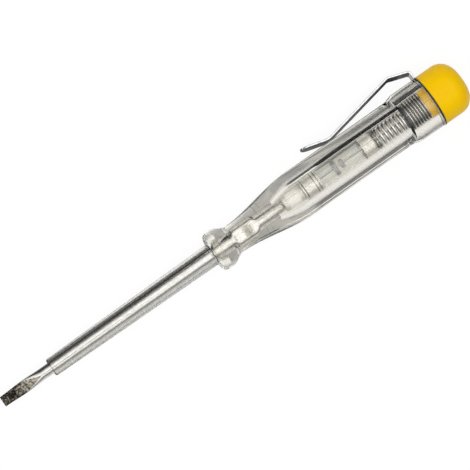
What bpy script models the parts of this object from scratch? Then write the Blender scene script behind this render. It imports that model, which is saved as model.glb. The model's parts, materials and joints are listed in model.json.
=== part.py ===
"""Voltage tester screwdriver with a clear handle, a neon lamp inside and a pocket clip.

The tool lies along +X, with the origin at the middle of the blade's end face and the cap at the far end.
It is modelled with the clip along +Y of an empty, and the empty is rolled about X
until the cap and the corner of the clip rest on the same table.
"""

import math

import bmesh
import bpy
from mathutils import Matrix, Vector

MM = 0.001

# Clearances
GAP = 0.3 * MM
MERGE = 0.001 * MM

# Blade: a round rod with a forged flat tip and two pressed wings that lock it in the handle
ROD_RADIUS = 1.475 * MM
TIP_WIDTH = 2.75 * MM
TIP_THICKNESS = 0.5 * MM
TIP_MAX_WIDTH = 3.2 * MM
TIP_ROOT_THICKNESS = 0.75 * MM
TIP_MAX_WIDTH_AT = 7.0 * MM
TIP_TAPER_END = 11.7 * MM
TIP_EDGE_ROUNDING = 0.06 * MM
BLADE_TURN = math.radians(14.6)
BARE_LENGTH = 14.6 * MM
WING_SPAN = 3.6 * MM
WING_THICKNESS = 2.0 * MM
WING_LENGTH = 7.2 * MM
WING_RUN = 0.8 * MM
WING_SETBACK = 6.0 * MM

# Insulating sleeve on the blade
SLEEVE_LENGTH = 49.4 * MM
SLEEVE_FRONT_RADIUS = 2.4 * MM
SLEEVE_REAR_RADIUS = 2.925 * MM
SLEEVE_NOSE_RADIUS = 0.5 * MM
SLEEVE_SEAT_DEPTH = 2.2 * MM

# Handle, outside
HANDLE_LENGTH = 66.1 * MM
COLLAR_RADIUS = 5.4 * MM
COLLAR_WIDTH = 2.3 * MM
COLLAR_FRONT_ROUNDING = 1.2 * MM
NECK_RADIUS = 3.9 * MM
NECK_SETBACK = 6.8 * MM
FLARE_LENGTH = 19.2 * MM
BODY_RADIUS = 6.3 * MM
BOSS_RADIUS = 6.92 * MM
BOSS_LENGTH = 6.9 * MM
BOSS_RAMP_LENGTH = 1.1 * MM
BOSS_EDGE_ROUNDING = 0.25 * MM

# Handle, inside
BORE_RADIUS = 2.88 * MM
BORE_DEPTH = 46.9 * MM
BORE_NOSE_RADIUS = 1.85 * MM
BORE_NOSE_LENGTH = 5.8 * MM
BORE_NOSE_FULLNESS = 0.3
THREAD_BORE_RADIUS = 3.96 * MM
THREAD_BORE_DEPTH = 6.9 * MM
THREAD_BORE_STEP = 0.6 * MM
THREAD_BORE_CHAMFER = 0.35 * MM
ROD_REACH = 2.2 * MM

# Resistor, a pellet between two pressed caps
RESISTOR_LENGTH = 5.1 * MM
RESISTOR_CAP_RADIUS = 2.05 * MM
RESISTOR_CAP_SKIRT = 1.2 * MM
CAP_SHEET = 0.25 * MM
PRESSED_CAP_ROUNDING = 0.2 * MM

# Neon lamp: a glass tube with two pressed caps and two disc electrodes on wires
LAMP_CAP_RADIUS = 2.56 * MM
LAMP_FRONT_SKIRT = 5.2 * MM
LAMP_GLASS_VISIBLE = 12.8 * MM
LAMP_REAR_SKIRT = 3.8 * MM
GLASS_RADIUS = 2.56 * MM
GLASS_WALL = 0.45 * MM
GLASS_SEAL_LENGTH = 1.0 * MM
GLASS_STEP_LENGTH = 0.35 * MM
ELECTRODE_WIRE_RADIUS = 0.2 * MM
FRONT_ELECTRODE_RADIUS = 1.75 * MM
REAR_ELECTRODE_RADIUS = 1.2 * MM
ELECTRODE_THICKNESS = 0.7 * MM
FRONT_ELECTRODE_REACH = 5.1 * MM
ELECTRODE_SPACING = 1.4 * MM

# Contact spring
SPRING_RADIUS = 2.31 * MM
SPRING_WIRE_RADIUS = 0.25 * MM
SPRING_CURLS = 6
SPRING_POINTS_PER_CURL = 10
SPRING_LEAST_GAP = 0.4 * MM

# Contact plug, a turned brass insert that carries the thread
THREAD_LENGTH = 6.2 * MM
PLUG_NOSE_LENGTH = 0.9 * MM
PLUG_NOSE_RADIUS = 2.55 * MM
PLUG_SHANK_RADIUS = 1.5 * MM
PLUG_SHANK_GROOVE = 0.3 * MM
PLUG_SHANK_GROOVE_LENGTH = 1.2 * MM

# Yellow end cap
CAP_LENGTH = 9.2 * MM
CAP_RADIUS = 7.0 * MM
CAP_ROUNDING_LENGTH = 4.4 * MM
CAP_ROUNDING_RADIUS = 4.6 * MM
CAP_DOME = 0.12 * MM
CAP_FRONT_ROUNDING = 0.2 * MM
CAP_SPIGOT_LENGTH = 1.8 * MM
CAP_SOCKET_DEPTH = 5.0 * MM

# Pocket clip, one spring steel strip with a ring
CLIP_THICKNESS = 0.5 * MM
CLIP_WIDTH = 5.0 * MM
CLIP_RING_RADIUS = 7.1 * MM
CLIP_EDGE_ROUNDING = 0.08 * MM
TAB_HEIGHT = 0.8 * MM
ARM_ROOT_HEIGHT = 1.95 * MM
APEX_SETBACK = 5.5 * MM
APEX_HEIGHT = 3.8 * MM
VALLEY_SETBACK = 26.4 * MM
LIP_SETBACK = 33.7 * MM
LIP_HEIGHT = 2.3 * MM
ROOT_BEND_RADIUS = 0.8 * MM
APEX_BEND_RADIUS = 1.0 * MM
VALLEY_BEND_RADIUS = 4.0 * MM
BEND_STEPS = 6
ARM_END_STEPS = 5

# Roundness of the turned pieces
COARSE_SIDES = 48
FINE_SIDES = 32
ROUNDING_STEPS = 5
PROFILE_STEPS = 14
BLADE_SIDES = 24
SHARP_ANGLE = math.radians(28)

# Places along the axis
HANDLE_FRONT = BARE_LENGTH + SLEEVE_LENGTH
HANDLE_REAR = HANDLE_FRONT + HANDLE_LENGTH
SLEEVE_REAR = HANDLE_FRONT + SLEEVE_SEAT_DEPTH
NECK_AT = HANDLE_FRONT + NECK_SETBACK
BODY_FRONT = NECK_AT + FLARE_LENGTH
BOSS_FRONT = HANDLE_REAR - BOSS_LENGTH
BODY_REAR = BOSS_FRONT - BOSS_RAMP_LENGTH
BORE_FRONT = HANDLE_REAR - BORE_DEPTH
THREAD_BORE_FRONT = HANDLE_REAR - THREAD_BORE_DEPTH
ROD_REAR = BORE_FRONT + ROD_REACH
WING_FRONT = HANDLE_FRONT + WING_SETBACK
RING_FRONT = HANDLE_REAR + GAP
RING_REAR = RING_FRONT + CLIP_THICKNESS
CAP_FRONT = RING_REAR + GAP
PLUG_REAR_OF_THREAD = CAP_FRONT - CAP_SPIGOT_LENGTH
PLUG_FRONT = PLUG_REAR_OF_THREAD - THREAD_LENGTH
RESISTOR_FRONT = ROD_REAR + GAP
RESISTOR_REAR = RESISTOR_FRONT + RESISTOR_LENGTH
LAMP_FRONT = RESISTOR_REAR + GAP
GLASS_BODY_FRONT = LAMP_FRONT + LAMP_FRONT_SKIRT
GLASS_BODY_REAR = GLASS_BODY_FRONT + LAMP_GLASS_VISIBLE
LAMP_REAR = GLASS_BODY_REAR + LAMP_REAR_SKIRT
SPRING_FRONT = LAMP_REAR + GAP
SPRING_REAR = PLUG_FRONT - GAP

# Sizes that follow from what they fit
ROD_HOLE_RADIUS = ROD_RADIUS + GAP
WING_HOLE_RADIUS = math.hypot(WING_SPAN, WING_THICKNESS) / 2 + GAP
SLEEVE_SOCKET_RADIUS = SLEEVE_REAR_RADIUS + GAP
THREAD_RADIUS = THREAD_BORE_RADIUS - GAP
SPIGOT_RADIUS = THREAD_RADIUS
RESISTOR_BODY_RADIUS = RESISTOR_CAP_RADIUS - CAP_SHEET - GAP
GLASS_NECK_RADIUS = LAMP_CAP_RADIUS - CAP_SHEET - GAP
RING_HOLE_RADIUS = SPIGOT_RADIUS + GAP
CLIP_FLEX_AT = Vector((
    (RING_FRONT + RING_REAR) / 2,
    CLIP_RING_RADIUS + TAB_HEIGHT + GAP / 2,
    0,
))
APEX_RADIUS = BOSS_RADIUS + APEX_HEIGHT
LYING_ROLL = (
    math.asin(CAP_RADIUS / math.hypot(APEX_RADIUS, CLIP_WIDTH / 2))
    - math.atan2(CLIP_WIDTH / 2, APEX_RADIUS)
)


def clear_scene():
    """Remove what a new file holds."""
    for thing in list(bpy.data.objects):
        bpy.data.objects.remove(thing)


def empty(name, parent=None, location=(0, 0, 0), turn=0.0):
    """An empty that carries pieces, turned about X."""
    carrier = bpy.data.objects.new(name, None)
    carrier.location = location
    carrier.rotation_euler = (turn, 0, 0)
    carrier.parent = parent
    bpy.context.scene.collection.objects.link(carrier)
    return carrier


def material(name, colour, roughness, metallic=0.0, see_through=0.0):
    """A Principled material with a plain colour."""
    made = bpy.data.materials.new(name)
    made.use_nodes = True
    shader = made.node_tree.nodes["Principled BSDF"]
    shader.inputs["Base Color"].default_value = (*colour, 1.0)
    shader.inputs["Roughness"].default_value = roughness
    shader.inputs["Metallic"].default_value = metallic
    shader.inputs["Transmission Weight"].default_value = see_through
    made.diffuse_color = (*colour, 1.0 - 0.6 * see_through)
    return made


def finish_mesh(mesh, smooth=True):
    """Shade a mesh smooth, but for its sharp edges."""
    if smooth:
        mesh.shade_smooth()
        mesh.set_sharp_from_angle(angle=SHARP_ANGLE)


def piece(name, builder, look, parent, location=(0, 0, 0), turn=0.0):
    """An object from a bmesh, with its own origin, below a parent."""
    mesh = bpy.data.meshes.new(name)
    bmesh.ops.remove_doubles(builder, verts=builder.verts, dist=MERGE)
    bmesh.ops.dissolve_degenerate(builder, edges=builder.edges, dist=MERGE)
    bmesh.ops.recalc_face_normals(builder, faces=builder.faces)
    builder.to_mesh(mesh)
    builder.free()
    finish_mesh(mesh)
    made = bpy.data.objects.new(name, mesh)
    made.location = location
    made.rotation_euler = (turn, 0, 0)
    made.parent = parent
    mesh.materials.append(look)
    bpy.context.scene.collection.objects.link(made)
    return made


def turned(profile, sides):
    """Spin a closed outline of (x, radius) points round the X axis."""
    builder = bmesh.new()
    verts = [builder.verts.new((x, 0, radius)) for x, radius in profile]
    edges = []
    for first, second in zip(verts, verts[1:] + verts[:1]):
        on_axis = first.co.z < MERGE and second.co.z < MERGE
        if not on_axis:
            edges.append(builder.edges.new((first, second)))
    bmesh.ops.spin(
        builder,
        geom=verts + edges,
        cent=(0, 0, 0),
        axis=(1, 0, 0),
        angle=2 * math.pi,
        steps=sides,
        use_merge=True,
    )
    return builder


def corner(x, radius, length, height, start, end, steps=ROUNDING_STEPS):
    """Points of a quarter of an ellipse about (x, radius), from one angle to another in quarter turns."""
    points = []
    for step in range(steps + 1):
        angle = math.pi / 2 * (start + (end - start) * step / steps)
        points.append((x + length * math.cos(angle), radius + height * math.sin(angle)))
    return points


def ease(share):
    """A smooth rise from 0 to 1 with level ends."""
    return share * share * (3 - 2 * share)


def eased_run(x_from, r_from, x_to, r_to, steps=PROFILE_STEPS):
    """Points of a smooth run between two radii, without its first point."""
    points = []
    for step in range(1, steps + 1):
        share = step / steps
        points.append((x_from + (x_to - x_from) * share, r_from + (r_to - r_from) * ease(share)))
    return points


# Handle

def bore_nose():
    """Points of the moulded front end of the bore, which narrows towards the rod, from rear to front."""
    points = []
    for step in range(PROFILE_STEPS // 2 + 1):
        share = 1 - step / (PROFILE_STEPS // 2)
        rise = share * (1 + BORE_NOSE_FULLNESS - BORE_NOSE_FULLNESS * share)
        points.append((
            BORE_FRONT + BORE_NOSE_LENGTH * share,
            BORE_NOSE_RADIUS + (BORE_RADIUS - BORE_NOSE_RADIUS) * rise,
        ))
    return points


def handle_outline():
    """Outer and inner outline of the handle: collar, neck, flare, body and boss, then the bore."""
    collar_top = HANDLE_FRONT + COLLAR_WIDTH
    rounding = COLLAR_FRONT_ROUNDING
    outline = [(HANDLE_FRONT, SLEEVE_SOCKET_RADIUS)]
    outline += corner(HANDLE_FRONT + rounding, COLLAR_RADIUS - rounding, rounding, rounding, 2, 1)
    outline.append((collar_top, COLLAR_RADIUS))
    outline += eased_run(collar_top, COLLAR_RADIUS, NECK_AT, NECK_RADIUS, PROFILE_STEPS // 2)
    outline += eased_run(NECK_AT, NECK_RADIUS, BODY_FRONT, BODY_RADIUS)
    outline.append((BODY_REAR, BODY_RADIUS))
    outline += eased_run(BODY_REAR, BODY_RADIUS, BOSS_FRONT, BOSS_RADIUS, ROUNDING_STEPS)
    edge = BOSS_EDGE_ROUNDING
    outline += corner(HANDLE_REAR - edge, BOSS_RADIUS - edge, edge, edge, 1, 0, 2)
    chamfer = THREAD_BORE_CHAMFER
    wing_from = WING_FRONT - GAP
    wing_to = WING_FRONT + WING_LENGTH + GAP
    socket_end = SLEEVE_REAR + GAP
    outline += [
        (HANDLE_REAR, THREAD_BORE_RADIUS + chamfer),
        (HANDLE_REAR - chamfer, THREAD_BORE_RADIUS),
        (THREAD_BORE_FRONT, THREAD_BORE_RADIUS),
        (THREAD_BORE_FRONT - THREAD_BORE_STEP, BORE_RADIUS),
    ]
    outline += bore_nose()
    outline += [
        (BORE_FRONT, ROD_HOLE_RADIUS),
        (wing_to, ROD_HOLE_RADIUS),
        (wing_to, WING_HOLE_RADIUS),
        (wing_from, WING_HOLE_RADIUS),
        (wing_from, ROD_HOLE_RADIUS),
        (socket_end, ROD_HOLE_RADIUS),
        (socket_end, SLEEVE_SOCKET_RADIUS),
    ]
    return outline


def build_handle(look, parent):
    """Turned handle: one solid of revolution with its stepped bore."""
    return piece("handle", turned(handle_outline(), COARSE_SIDES), look, parent)


# Blade and its sleeve

def blade_section(x, width, thickness, squareness):
    """One ring of the blade: a superellipse, square at the tip and round on the rod."""
    ring = []
    for side in range(BLADE_SIDES):
        angle = 2 * math.pi * (side + 0.5) / BLADE_SIDES
        cosine, sine = math.cos(angle), math.sin(angle)
        reach = (abs(cosine) ** squareness + abs(sine) ** squareness) ** (-1 / squareness)
        ring.append((x, width / 2 * reach * cosine, thickness / 2 * reach * sine))
    return ring


def blade_stations():
    """Sections along the blade: place, width, thickness and squareness."""
    square, round_one = 14.0, 2.0
    rod = 2 * ROD_RADIUS
    stations = [
        (0.0, TIP_WIDTH - 2 * TIP_EDGE_ROUNDING, TIP_THICKNESS - 2 * TIP_EDGE_ROUNDING, square),
        (TIP_EDGE_ROUNDING, TIP_WIDTH, TIP_THICKNESS, square),
    ]
    for step in range(1, ROUNDING_STEPS + 1):
        share = step / ROUNDING_STEPS
        stations.append((
            TIP_EDGE_ROUNDING + (TIP_MAX_WIDTH_AT - TIP_EDGE_ROUNDING) * share,
            TIP_WIDTH + (TIP_MAX_WIDTH - TIP_WIDTH) * ease(share),
            TIP_THICKNESS + (TIP_ROOT_THICKNESS - TIP_THICKNESS) * share * share,
            square + (4 - square) * share,
        ))
    for step in range(1, PROFILE_STEPS + 1):
        share = step / PROFILE_STEPS
        stations.append((
            TIP_MAX_WIDTH_AT + (TIP_TAPER_END - TIP_MAX_WIDTH_AT) * share,
            TIP_MAX_WIDTH + (rod - TIP_MAX_WIDTH) * ease(share),
            TIP_ROOT_THICKNESS + (rod - TIP_ROOT_THICKNESS) * ease(share ** 0.8),
            4 + (round_one - 4) * share,
        ))
    wing_rear = WING_FRONT + WING_LENGTH
    stations += [
        (WING_FRONT, rod, rod, round_one),
        (WING_FRONT + WING_RUN, WING_SPAN, WING_THICKNESS, 2.6),
        (wing_rear - WING_RUN, WING_SPAN, WING_THICKNESS, 2.6),
        (wing_rear, rod, rod, round_one),
        (ROD_REAR - WING_RUN, rod, rod, round_one),
        (ROD_REAR, rod - ROD_RADIUS / 2, rod - ROD_RADIUS / 2, round_one),
    ]
    return stations


def build_blade(look, parent):
    """Loft the blade through its sections and close both ends."""
    builder = bmesh.new()
    loops = []
    for station in blade_stations():
        ring = [builder.verts.new(point) for point in blade_section(*station)]
        loops.append([
            builder.edges.new((first, second))
            for first, second in zip(ring, ring[1:] + ring[:1])
        ])
    for front, rear in zip(loops, loops[1:]):
        bmesh.ops.bridge_loops(builder, edges=front + rear)
    for end in (loops[0], loops[-1]):
        bmesh.ops.edgenet_fill(builder, edges=end)
    return piece("blade_shaft", builder, look, parent, turn=BLADE_TURN)


def build_sleeve(look, parent):
    """Tapered insulating tube with a rounded nose, seated in the collar."""
    nose = SLEEVE_NOSE_RADIUS
    outline = [(BARE_LENGTH, ROD_HOLE_RADIUS)]
    outline += corner(BARE_LENGTH + nose, SLEEVE_FRONT_RADIUS - nose, nose, nose, 2, 1)
    outline += [(SLEEVE_REAR, SLEEVE_REAR_RADIUS), (SLEEVE_REAR, ROD_HOLE_RADIUS)]
    return piece("blade_sleeve", turned(outline, FINE_SIDES), look, parent)


# Resistor and lamp

def pressed_cap(name, face, mouth, radius, look, parent):
    """A thin cap with its face at one place and its open mouth at another."""
    way = 1 if mouth > face else -1
    inner_face = face + way * CAP_SHEET
    rounding = PRESSED_CAP_ROUNDING
    outline = [
        (face, 0.0),
        (face, radius - rounding),
        (face + way * rounding, radius),
        (mouth, radius),
        (mouth, radius - CAP_SHEET),
        (inner_face, radius - CAP_SHEET),
        (inner_face, 0.0),
    ]
    return piece(name, turned(outline, FINE_SIDES), look, parent)


def build_resistor(body_look, metal, parent):
    """A film resistor pellet between two pressed end caps."""
    front = RESISTOR_FRONT + CAP_SHEET + GAP
    rear = RESISTOR_REAR - CAP_SHEET - GAP
    rounding = PRESSED_CAP_ROUNDING
    outline = [
        (front, 0.0),
        (front, RESISTOR_BODY_RADIUS - rounding),
        (front + rounding, RESISTOR_BODY_RADIUS),
        (rear - rounding, RESISTOR_BODY_RADIUS),
        (rear, RESISTOR_BODY_RADIUS - rounding),
        (rear, 0.0),
    ]
    piece("resistor_body", turned(outline, FINE_SIDES), body_look, parent)
    radius, skirt = RESISTOR_CAP_RADIUS, RESISTOR_CAP_SKIRT
    pressed_cap("resistor_cap_front", RESISTOR_FRONT, RESISTOR_FRONT + skirt, radius, metal, parent)
    pressed_cap("resistor_cap_rear", RESISTOR_REAR, RESISTOR_REAR - skirt, radius, metal, parent)


def glass_outline():
    """Glass tube with a neck and a sealed end in each cap, open only where the wires pass."""
    front = LAMP_FRONT + CAP_SHEET + GAP
    rear = LAMP_REAR - CAP_SHEET - GAP
    hole = ELECTRODE_WIRE_RADIUS + GAP
    step = GLASS_STEP_LENGTH
    seal = GLASS_SEAL_LENGTH
    return [
        (front, hole),
        (front, GLASS_NECK_RADIUS - step),
        (front + step, GLASS_NECK_RADIUS),
        (GLASS_BODY_FRONT + GAP, GLASS_NECK_RADIUS),
        (GLASS_BODY_FRONT + GAP, GLASS_RADIUS - step),
        (GLASS_BODY_FRONT + GAP + step, GLASS_RADIUS),
        (GLASS_BODY_REAR - GAP - step, GLASS_RADIUS),
        (GLASS_BODY_REAR - GAP, GLASS_RADIUS - step),
        (GLASS_BODY_REAR - GAP, GLASS_NECK_RADIUS),
        (rear - step, GLASS_NECK_RADIUS),
        (rear, GLASS_NECK_RADIUS - step),
        (rear, hole),
        (rear - seal, hole),
        (rear - seal - step, GLASS_NECK_RADIUS - GLASS_WALL),
        (GLASS_BODY_REAR - GAP - GLASS_WALL, GLASS_NECK_RADIUS - GLASS_WALL),
        (GLASS_BODY_REAR - GAP - GLASS_WALL - step, GLASS_RADIUS - GLASS_WALL),
        (GLASS_BODY_FRONT + GAP + GLASS_WALL + step, GLASS_RADIUS - GLASS_WALL),
        (GLASS_BODY_FRONT + GAP + GLASS_WALL, GLASS_NECK_RADIUS - GLASS_WALL),
        (front + seal + step, GLASS_NECK_RADIUS - GLASS_WALL),
        (front + seal, hole),
    ]


def electrode(name, wire_end, disc_face, radius, look, parent):
    """A disc on the end of a wire. The disc faces away from the wire."""
    way = 1 if disc_face > wire_end else -1
    back = disc_face - way * ELECTRODE_THICKNESS
    outline = [
        (wire_end, 0.0),
        (wire_end, ELECTRODE_WIRE_RADIUS),
        (back, ELECTRODE_WIRE_RADIUS),
        (back, radius),
        (disc_face, radius),
        (disc_face, 0.0),
    ]
    return piece(name, turned(outline, FINE_SIDES), look, parent)


def build_lamp(glass, metal, electrode_look, parent):
    """Neon lamp: glass, two electrodes and two pressed caps."""
    piece("lamp_glass", turned(glass_outline(), FINE_SIDES), glass, parent)
    front_disc = GLASS_BODY_FRONT + FRONT_ELECTRODE_REACH
    front_wire = LAMP_FRONT + CAP_SHEET + GAP
    rear_wire = LAMP_REAR - CAP_SHEET - GAP
    electrode("lamp_electrode_front", front_wire, front_disc, FRONT_ELECTRODE_RADIUS, electrode_look, parent)
    rear_disc = front_disc + ELECTRODE_SPACING
    electrode("lamp_electrode_rear", rear_wire, rear_disc, REAR_ELECTRODE_RADIUS, electrode_look, parent)
    pressed_cap("lamp_cap_front", LAMP_FRONT, GLASS_BODY_FRONT, LAMP_CAP_RADIUS, metal, parent)
    pressed_cap("lamp_cap_rear", LAMP_REAR, GLASS_BODY_REAR, LAMP_CAP_RADIUS, metal, parent)


# Spring

def spring_points():
    """Centreline of the spring: a straight end, the curls and a straight end."""
    stub = 2 * SPRING_WIRE_RADIUS
    coil_front = SPRING_FRONT + stub
    coil_rear = SPRING_REAR - stub
    steps = SPRING_CURLS * SPRING_POINTS_PER_CURL
    points = [Vector((SPRING_FRONT, SPRING_RADIUS, 0))]
    for step in range(steps + 1):
        angle = 2 * math.pi * step / SPRING_POINTS_PER_CURL
        points.append(Vector((
            coil_front + (coil_rear - coil_front) * step / steps,
            SPRING_RADIUS * math.cos(angle),
            SPRING_RADIUS * math.sin(angle),
        )))
    points.append(Vector((SPRING_REAR, SPRING_RADIUS, 0)))
    return points


def least_gap(points):
    """Smallest clear space between turns of the spring, measured on its points."""
    skip = SPRING_POINTS_PER_CURL // 2
    least = min(
        (second - first).length
        for at, first in enumerate(points)
        for second in points[at + skip:]
    )
    return least - 2 * SPRING_WIRE_RADIUS


def build_spring(look, parent):
    """Coil spring as one unbroken tube."""
    points = spring_points()
    gap = least_gap(points)
    print(f"spring: least gap {gap / MM:.2f} mm, asked for {SPRING_LEAST_GAP / MM:.2f} mm or more")
    curve = bpy.data.curves.new("contact_spring", "CURVE")
    curve.dimensions = "3D"
    curve.bevel_depth = SPRING_WIRE_RADIUS
    curve.bevel_resolution = 1
    curve.use_fill_caps = True
    line = curve.splines.new("POLY")
    line.points.add(len(points) - 1)
    for place, point in zip(line.points, points):
        place.co = (*point, 1.0)
    line.use_smooth = True
    curve.materials.append(look)
    spring = bpy.data.objects.new("contact_spring", curve)
    spring.parent = parent
    bpy.context.scene.collection.objects.link(spring)
    return spring


# Plug, cap and clip

def build_plug(look, parent):
    """Turned plug: nose, threaded stretch and the grooved shank that the cap is moulded on."""
    shank_rear = CAP_FRONT + CAP_SOCKET_DEPTH - GAP
    groove_to = shank_rear - PLUG_SHANK_GROOVE_LENGTH
    groove_from = groove_to - PLUG_SHANK_GROOVE_LENGTH
    neck = PLUG_SHANK_RADIUS - PLUG_SHANK_GROOVE
    outline = [
        (PLUG_FRONT, 0.0),
        (PLUG_FRONT, PLUG_NOSE_RADIUS),
        (PLUG_FRONT + PLUG_NOSE_LENGTH, THREAD_RADIUS),
        (PLUG_REAR_OF_THREAD - GAP, THREAD_RADIUS),
        (PLUG_REAR_OF_THREAD - GAP, PLUG_SHANK_RADIUS),
        (groove_from, PLUG_SHANK_RADIUS),
        (groove_from, neck),
        (groove_to, neck),
        (groove_to, PLUG_SHANK_RADIUS),
        (shank_rear, PLUG_SHANK_RADIUS),
        (shank_rear, 0.0),
    ]
    return piece("contact_plug", turned(outline, FINE_SIDES), look, parent)


def build_cap(look, parent):
    """Domed cap with a spigot that passes through the clip's ring."""
    rear = CAP_FRONT + CAP_LENGTH
    socket = PLUG_SHANK_RADIUS + GAP
    front = CAP_FRONT_ROUNDING
    flat_rear = rear - CAP_DOME
    rim = CAP_RADIUS - CAP_ROUNDING_RADIUS
    outline = [
        (PLUG_REAR_OF_THREAD, socket),
        (PLUG_REAR_OF_THREAD, SPIGOT_RADIUS),
        (CAP_FRONT, SPIGOT_RADIUS),
    ]
    outline += corner(CAP_FRONT + front, CAP_RADIUS - front, front, front, 2, 1, 2)
    outline += corner(flat_rear - CAP_ROUNDING_LENGTH, rim, CAP_ROUNDING_LENGTH, CAP_ROUNDING_RADIUS,
                      1, 0, 2 * ROUNDING_STEPS)
    outline += [
        (rear, 0.0),
        (CAP_FRONT + CAP_SOCKET_DEPTH, 0.0),
        (CAP_FRONT + CAP_SOCKET_DEPTH, socket),
    ]
    return piece("end_cap", turned(outline, COARSE_SIDES), look, parent)


def build_clip_ring(look, parent):
    """Ring of the clip with the root of its tab, a plate cut from one outline with a round hole."""
    half = CLIP_WIDTH / 2
    shoulder = math.asin(half / CLIP_RING_RADIUS)
    curve = bpy.data.curves.new("clip_ring_outline", "CURVE")
    curve.dimensions = "2D"
    curve.fill_mode = "BOTH"
    curve.extrude = CLIP_THICKNESS / 2
    sweep = 2 * (math.pi - shoulder)
    outer = [(half, CLIP_RING_RADIUS + TAB_HEIGHT), (-half, CLIP_RING_RADIUS + TAB_HEIGHT)]
    for step in range(COARSE_SIDES + 1):
        angle = math.pi / 2 + shoulder + sweep * step / COARSE_SIDES
        outer.append((CLIP_RING_RADIUS * math.cos(angle), CLIP_RING_RADIUS * math.sin(angle)))
    inner = []
    for step in range(FINE_SIDES):
        angle = 2 * math.pi * step / FINE_SIDES
        inner.append((RING_HOLE_RADIUS * math.cos(angle), RING_HOLE_RADIUS * math.sin(angle)))
    for outline in (outer, inner):
        line = curve.splines.new("POLY")
        line.points.add(len(outline) - 1)
        for place, point in zip(line.points, outline):
            place.co = (*point, 0, 1)
        line.use_cyclic_u = True
    guide = bpy.data.objects.new("clip_ring_outline", curve)
    builder = bmesh.new()
    builder.from_mesh(guide.to_mesh())
    guide.to_mesh_clear()
    bpy.data.objects.remove(guide)
    bpy.data.curves.remove(curve)
    stand = Matrix(((0, 0, 1, 0), (0, 1, 0, 0), (-1, 0, 0, 0), (0, 0, 0, 1)))
    bmesh.ops.transform(builder, matrix=stand, verts=builder.verts)
    place = ((RING_FRONT + RING_REAR) / 2, 0, 0)
    return piece("clip_ring", builder, look, parent, location=place)


def bent_path(stops, bends, steps):
    """Centreline through corner points, each corner rounded by an arc of its own radius."""
    path = [stops[0]]
    for before, at, after, radius in zip(stops, stops[1:], stops[2:], bends):
        inward = (before - at).normalized()
        outward = (after - at).normalized()
        half_angle = inward.angle(outward) / 2
        reach = radius / math.tan(half_angle)
        start, end = at + inward * reach, at + outward * reach
        centre = at + (inward + outward).normalized() * (radius / math.sin(half_angle))
        first, last = start - centre, end - centre
        for step in range(steps + 1):
            share = step / steps
            spoke = first.slerp(last, share) * radius
            path.append(centre + spoke)
    path.append(stops[-1])
    return path


def arm_path():
    """Corner points of the arm seen from the side, then the rounded path."""
    thick = CLIP_THICKNESS / 2
    root_x = (RING_FRONT + RING_REAR) / 2
    stops = [
        Vector((root_x, CLIP_FLEX_AT.y + GAP / 2)),
        Vector((root_x, BOSS_RADIUS + ARM_ROOT_HEIGHT)),
        Vector((root_x - APEX_SETBACK, APEX_RADIUS)),
        Vector((root_x - VALLEY_SETBACK, BODY_RADIUS + GAP + thick)),
        Vector((root_x - LIP_SETBACK, BODY_RADIUS + LIP_HEIGHT)),
    ]
    return bent_path(stops, (ROOT_BEND_RADIUS, APEX_BEND_RADIUS, VALLEY_BEND_RADIUS), BEND_STEPS)


def build_clip_arm(look, parent):
    """Spring arm: a ribbon along the path, round at its free end, given its thickness."""
    path = arm_path()
    end = path.pop()
    half = CLIP_WIDTH / 2
    rows = [(point, half) for point in path]
    straight = end - path[-1]
    way = straight.normalized()
    for step in range(ARM_END_STEPS + 1):
        angle = math.pi / 2 * step / (ARM_END_STEPS + 1)
        back = half * (1 - math.sin(angle))
        rows.append((end - way * back, half * math.cos(angle)))
    builder = bmesh.new()
    columns = []
    for point, reach in rows:
        place = Vector((point.x, point.y, 0)) - CLIP_FLEX_AT
        columns.append([
            builder.verts.new((place.x, place.y, -reach)),
            builder.verts.new((place.x, place.y, reach)),
        ])
    for (left, right), (next_left, next_right) in zip(columns, columns[1:]):
        builder.faces.new((left, right, next_right, next_left))
    arm = piece("clip_arm", builder, look, parent)
    solid = arm.modifiers.new("thickness", "SOLIDIFY")
    solid.thickness = CLIP_THICKNESS
    solid.offset = 0
    solid.use_even_offset = True
    edge = arm.modifiers.new("edges", "BEVEL")
    edge.width = CLIP_EDGE_ROUNDING
    edge.segments = 1
    edge.limit_method = "ANGLE"
    edge.angle_limit = math.radians(50)
    return arm


def build():
    """Make every piece under the rolled empty, each with its own material."""
    clear_scene()
    axis = empty("tool_axis", turn=-LYING_ROLL)
    flex = empty("clip_flex_axis", parent=axis, location=CLIP_FLEX_AT)
    clear = material("clear_polycarbonate", (0.80, 0.80, 0.77), 0.05, see_through=1.0)
    sleeve = material("clear_sleeve_plastic", (0.78, 0.78, 0.75), 0.08, see_through=1.0)
    steel = material("plated_blade_steel", (0.62, 0.61, 0.59), 0.28, 1.0)
    nickel = material("nickel_plated_sheet", (0.66, 0.65, 0.62), 0.25, 1.0)
    pellet = material("resistor_ceramic", (0.62, 0.58, 0.50), 0.6)
    glass = material("lamp_glass", (0.9, 0.9, 0.9), 0.02, see_through=1.0)
    electrode_metal = material("electrode_nickel", (0.4, 0.38, 0.36), 0.4, 1.0)
    spring_wire = material("spring_wire", (0.7, 0.7, 0.7), 0.2, 1.0)
    brass = material("nickel_plated_brass", (0.5, 0.48, 0.45), 0.3, 1.0)
    clip_steel = material("chromed_spring_steel", (0.75, 0.75, 0.76), 0.12, 1.0)
    yellow = material("yellow_moulded_plastic", (0.87, 0.53, 0.01), 0.25)
    build_handle(clear, axis)
    build_blade(steel, axis)
    build_sleeve(sleeve, axis)
    build_resistor(pellet, nickel, axis)
    build_lamp(glass, nickel, electrode_metal, axis)
    build_spring(spring_wire, axis)
    build_plug(brass, axis)
    build_cap(yellow, axis)
    build_clip_ring(clip_steel, axis)
    build_clip_arm(clip_steel, flex)


build()
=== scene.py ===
"""Looks of the voltage tester screwdriver, built round the packed frame.

Each piece is modelled along +X with the clip along +Y, then rolled about X to where the frame lies.
"""

import json
import math

import bmesh
import bpy
from mathutils import Matrix, Vector


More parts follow.
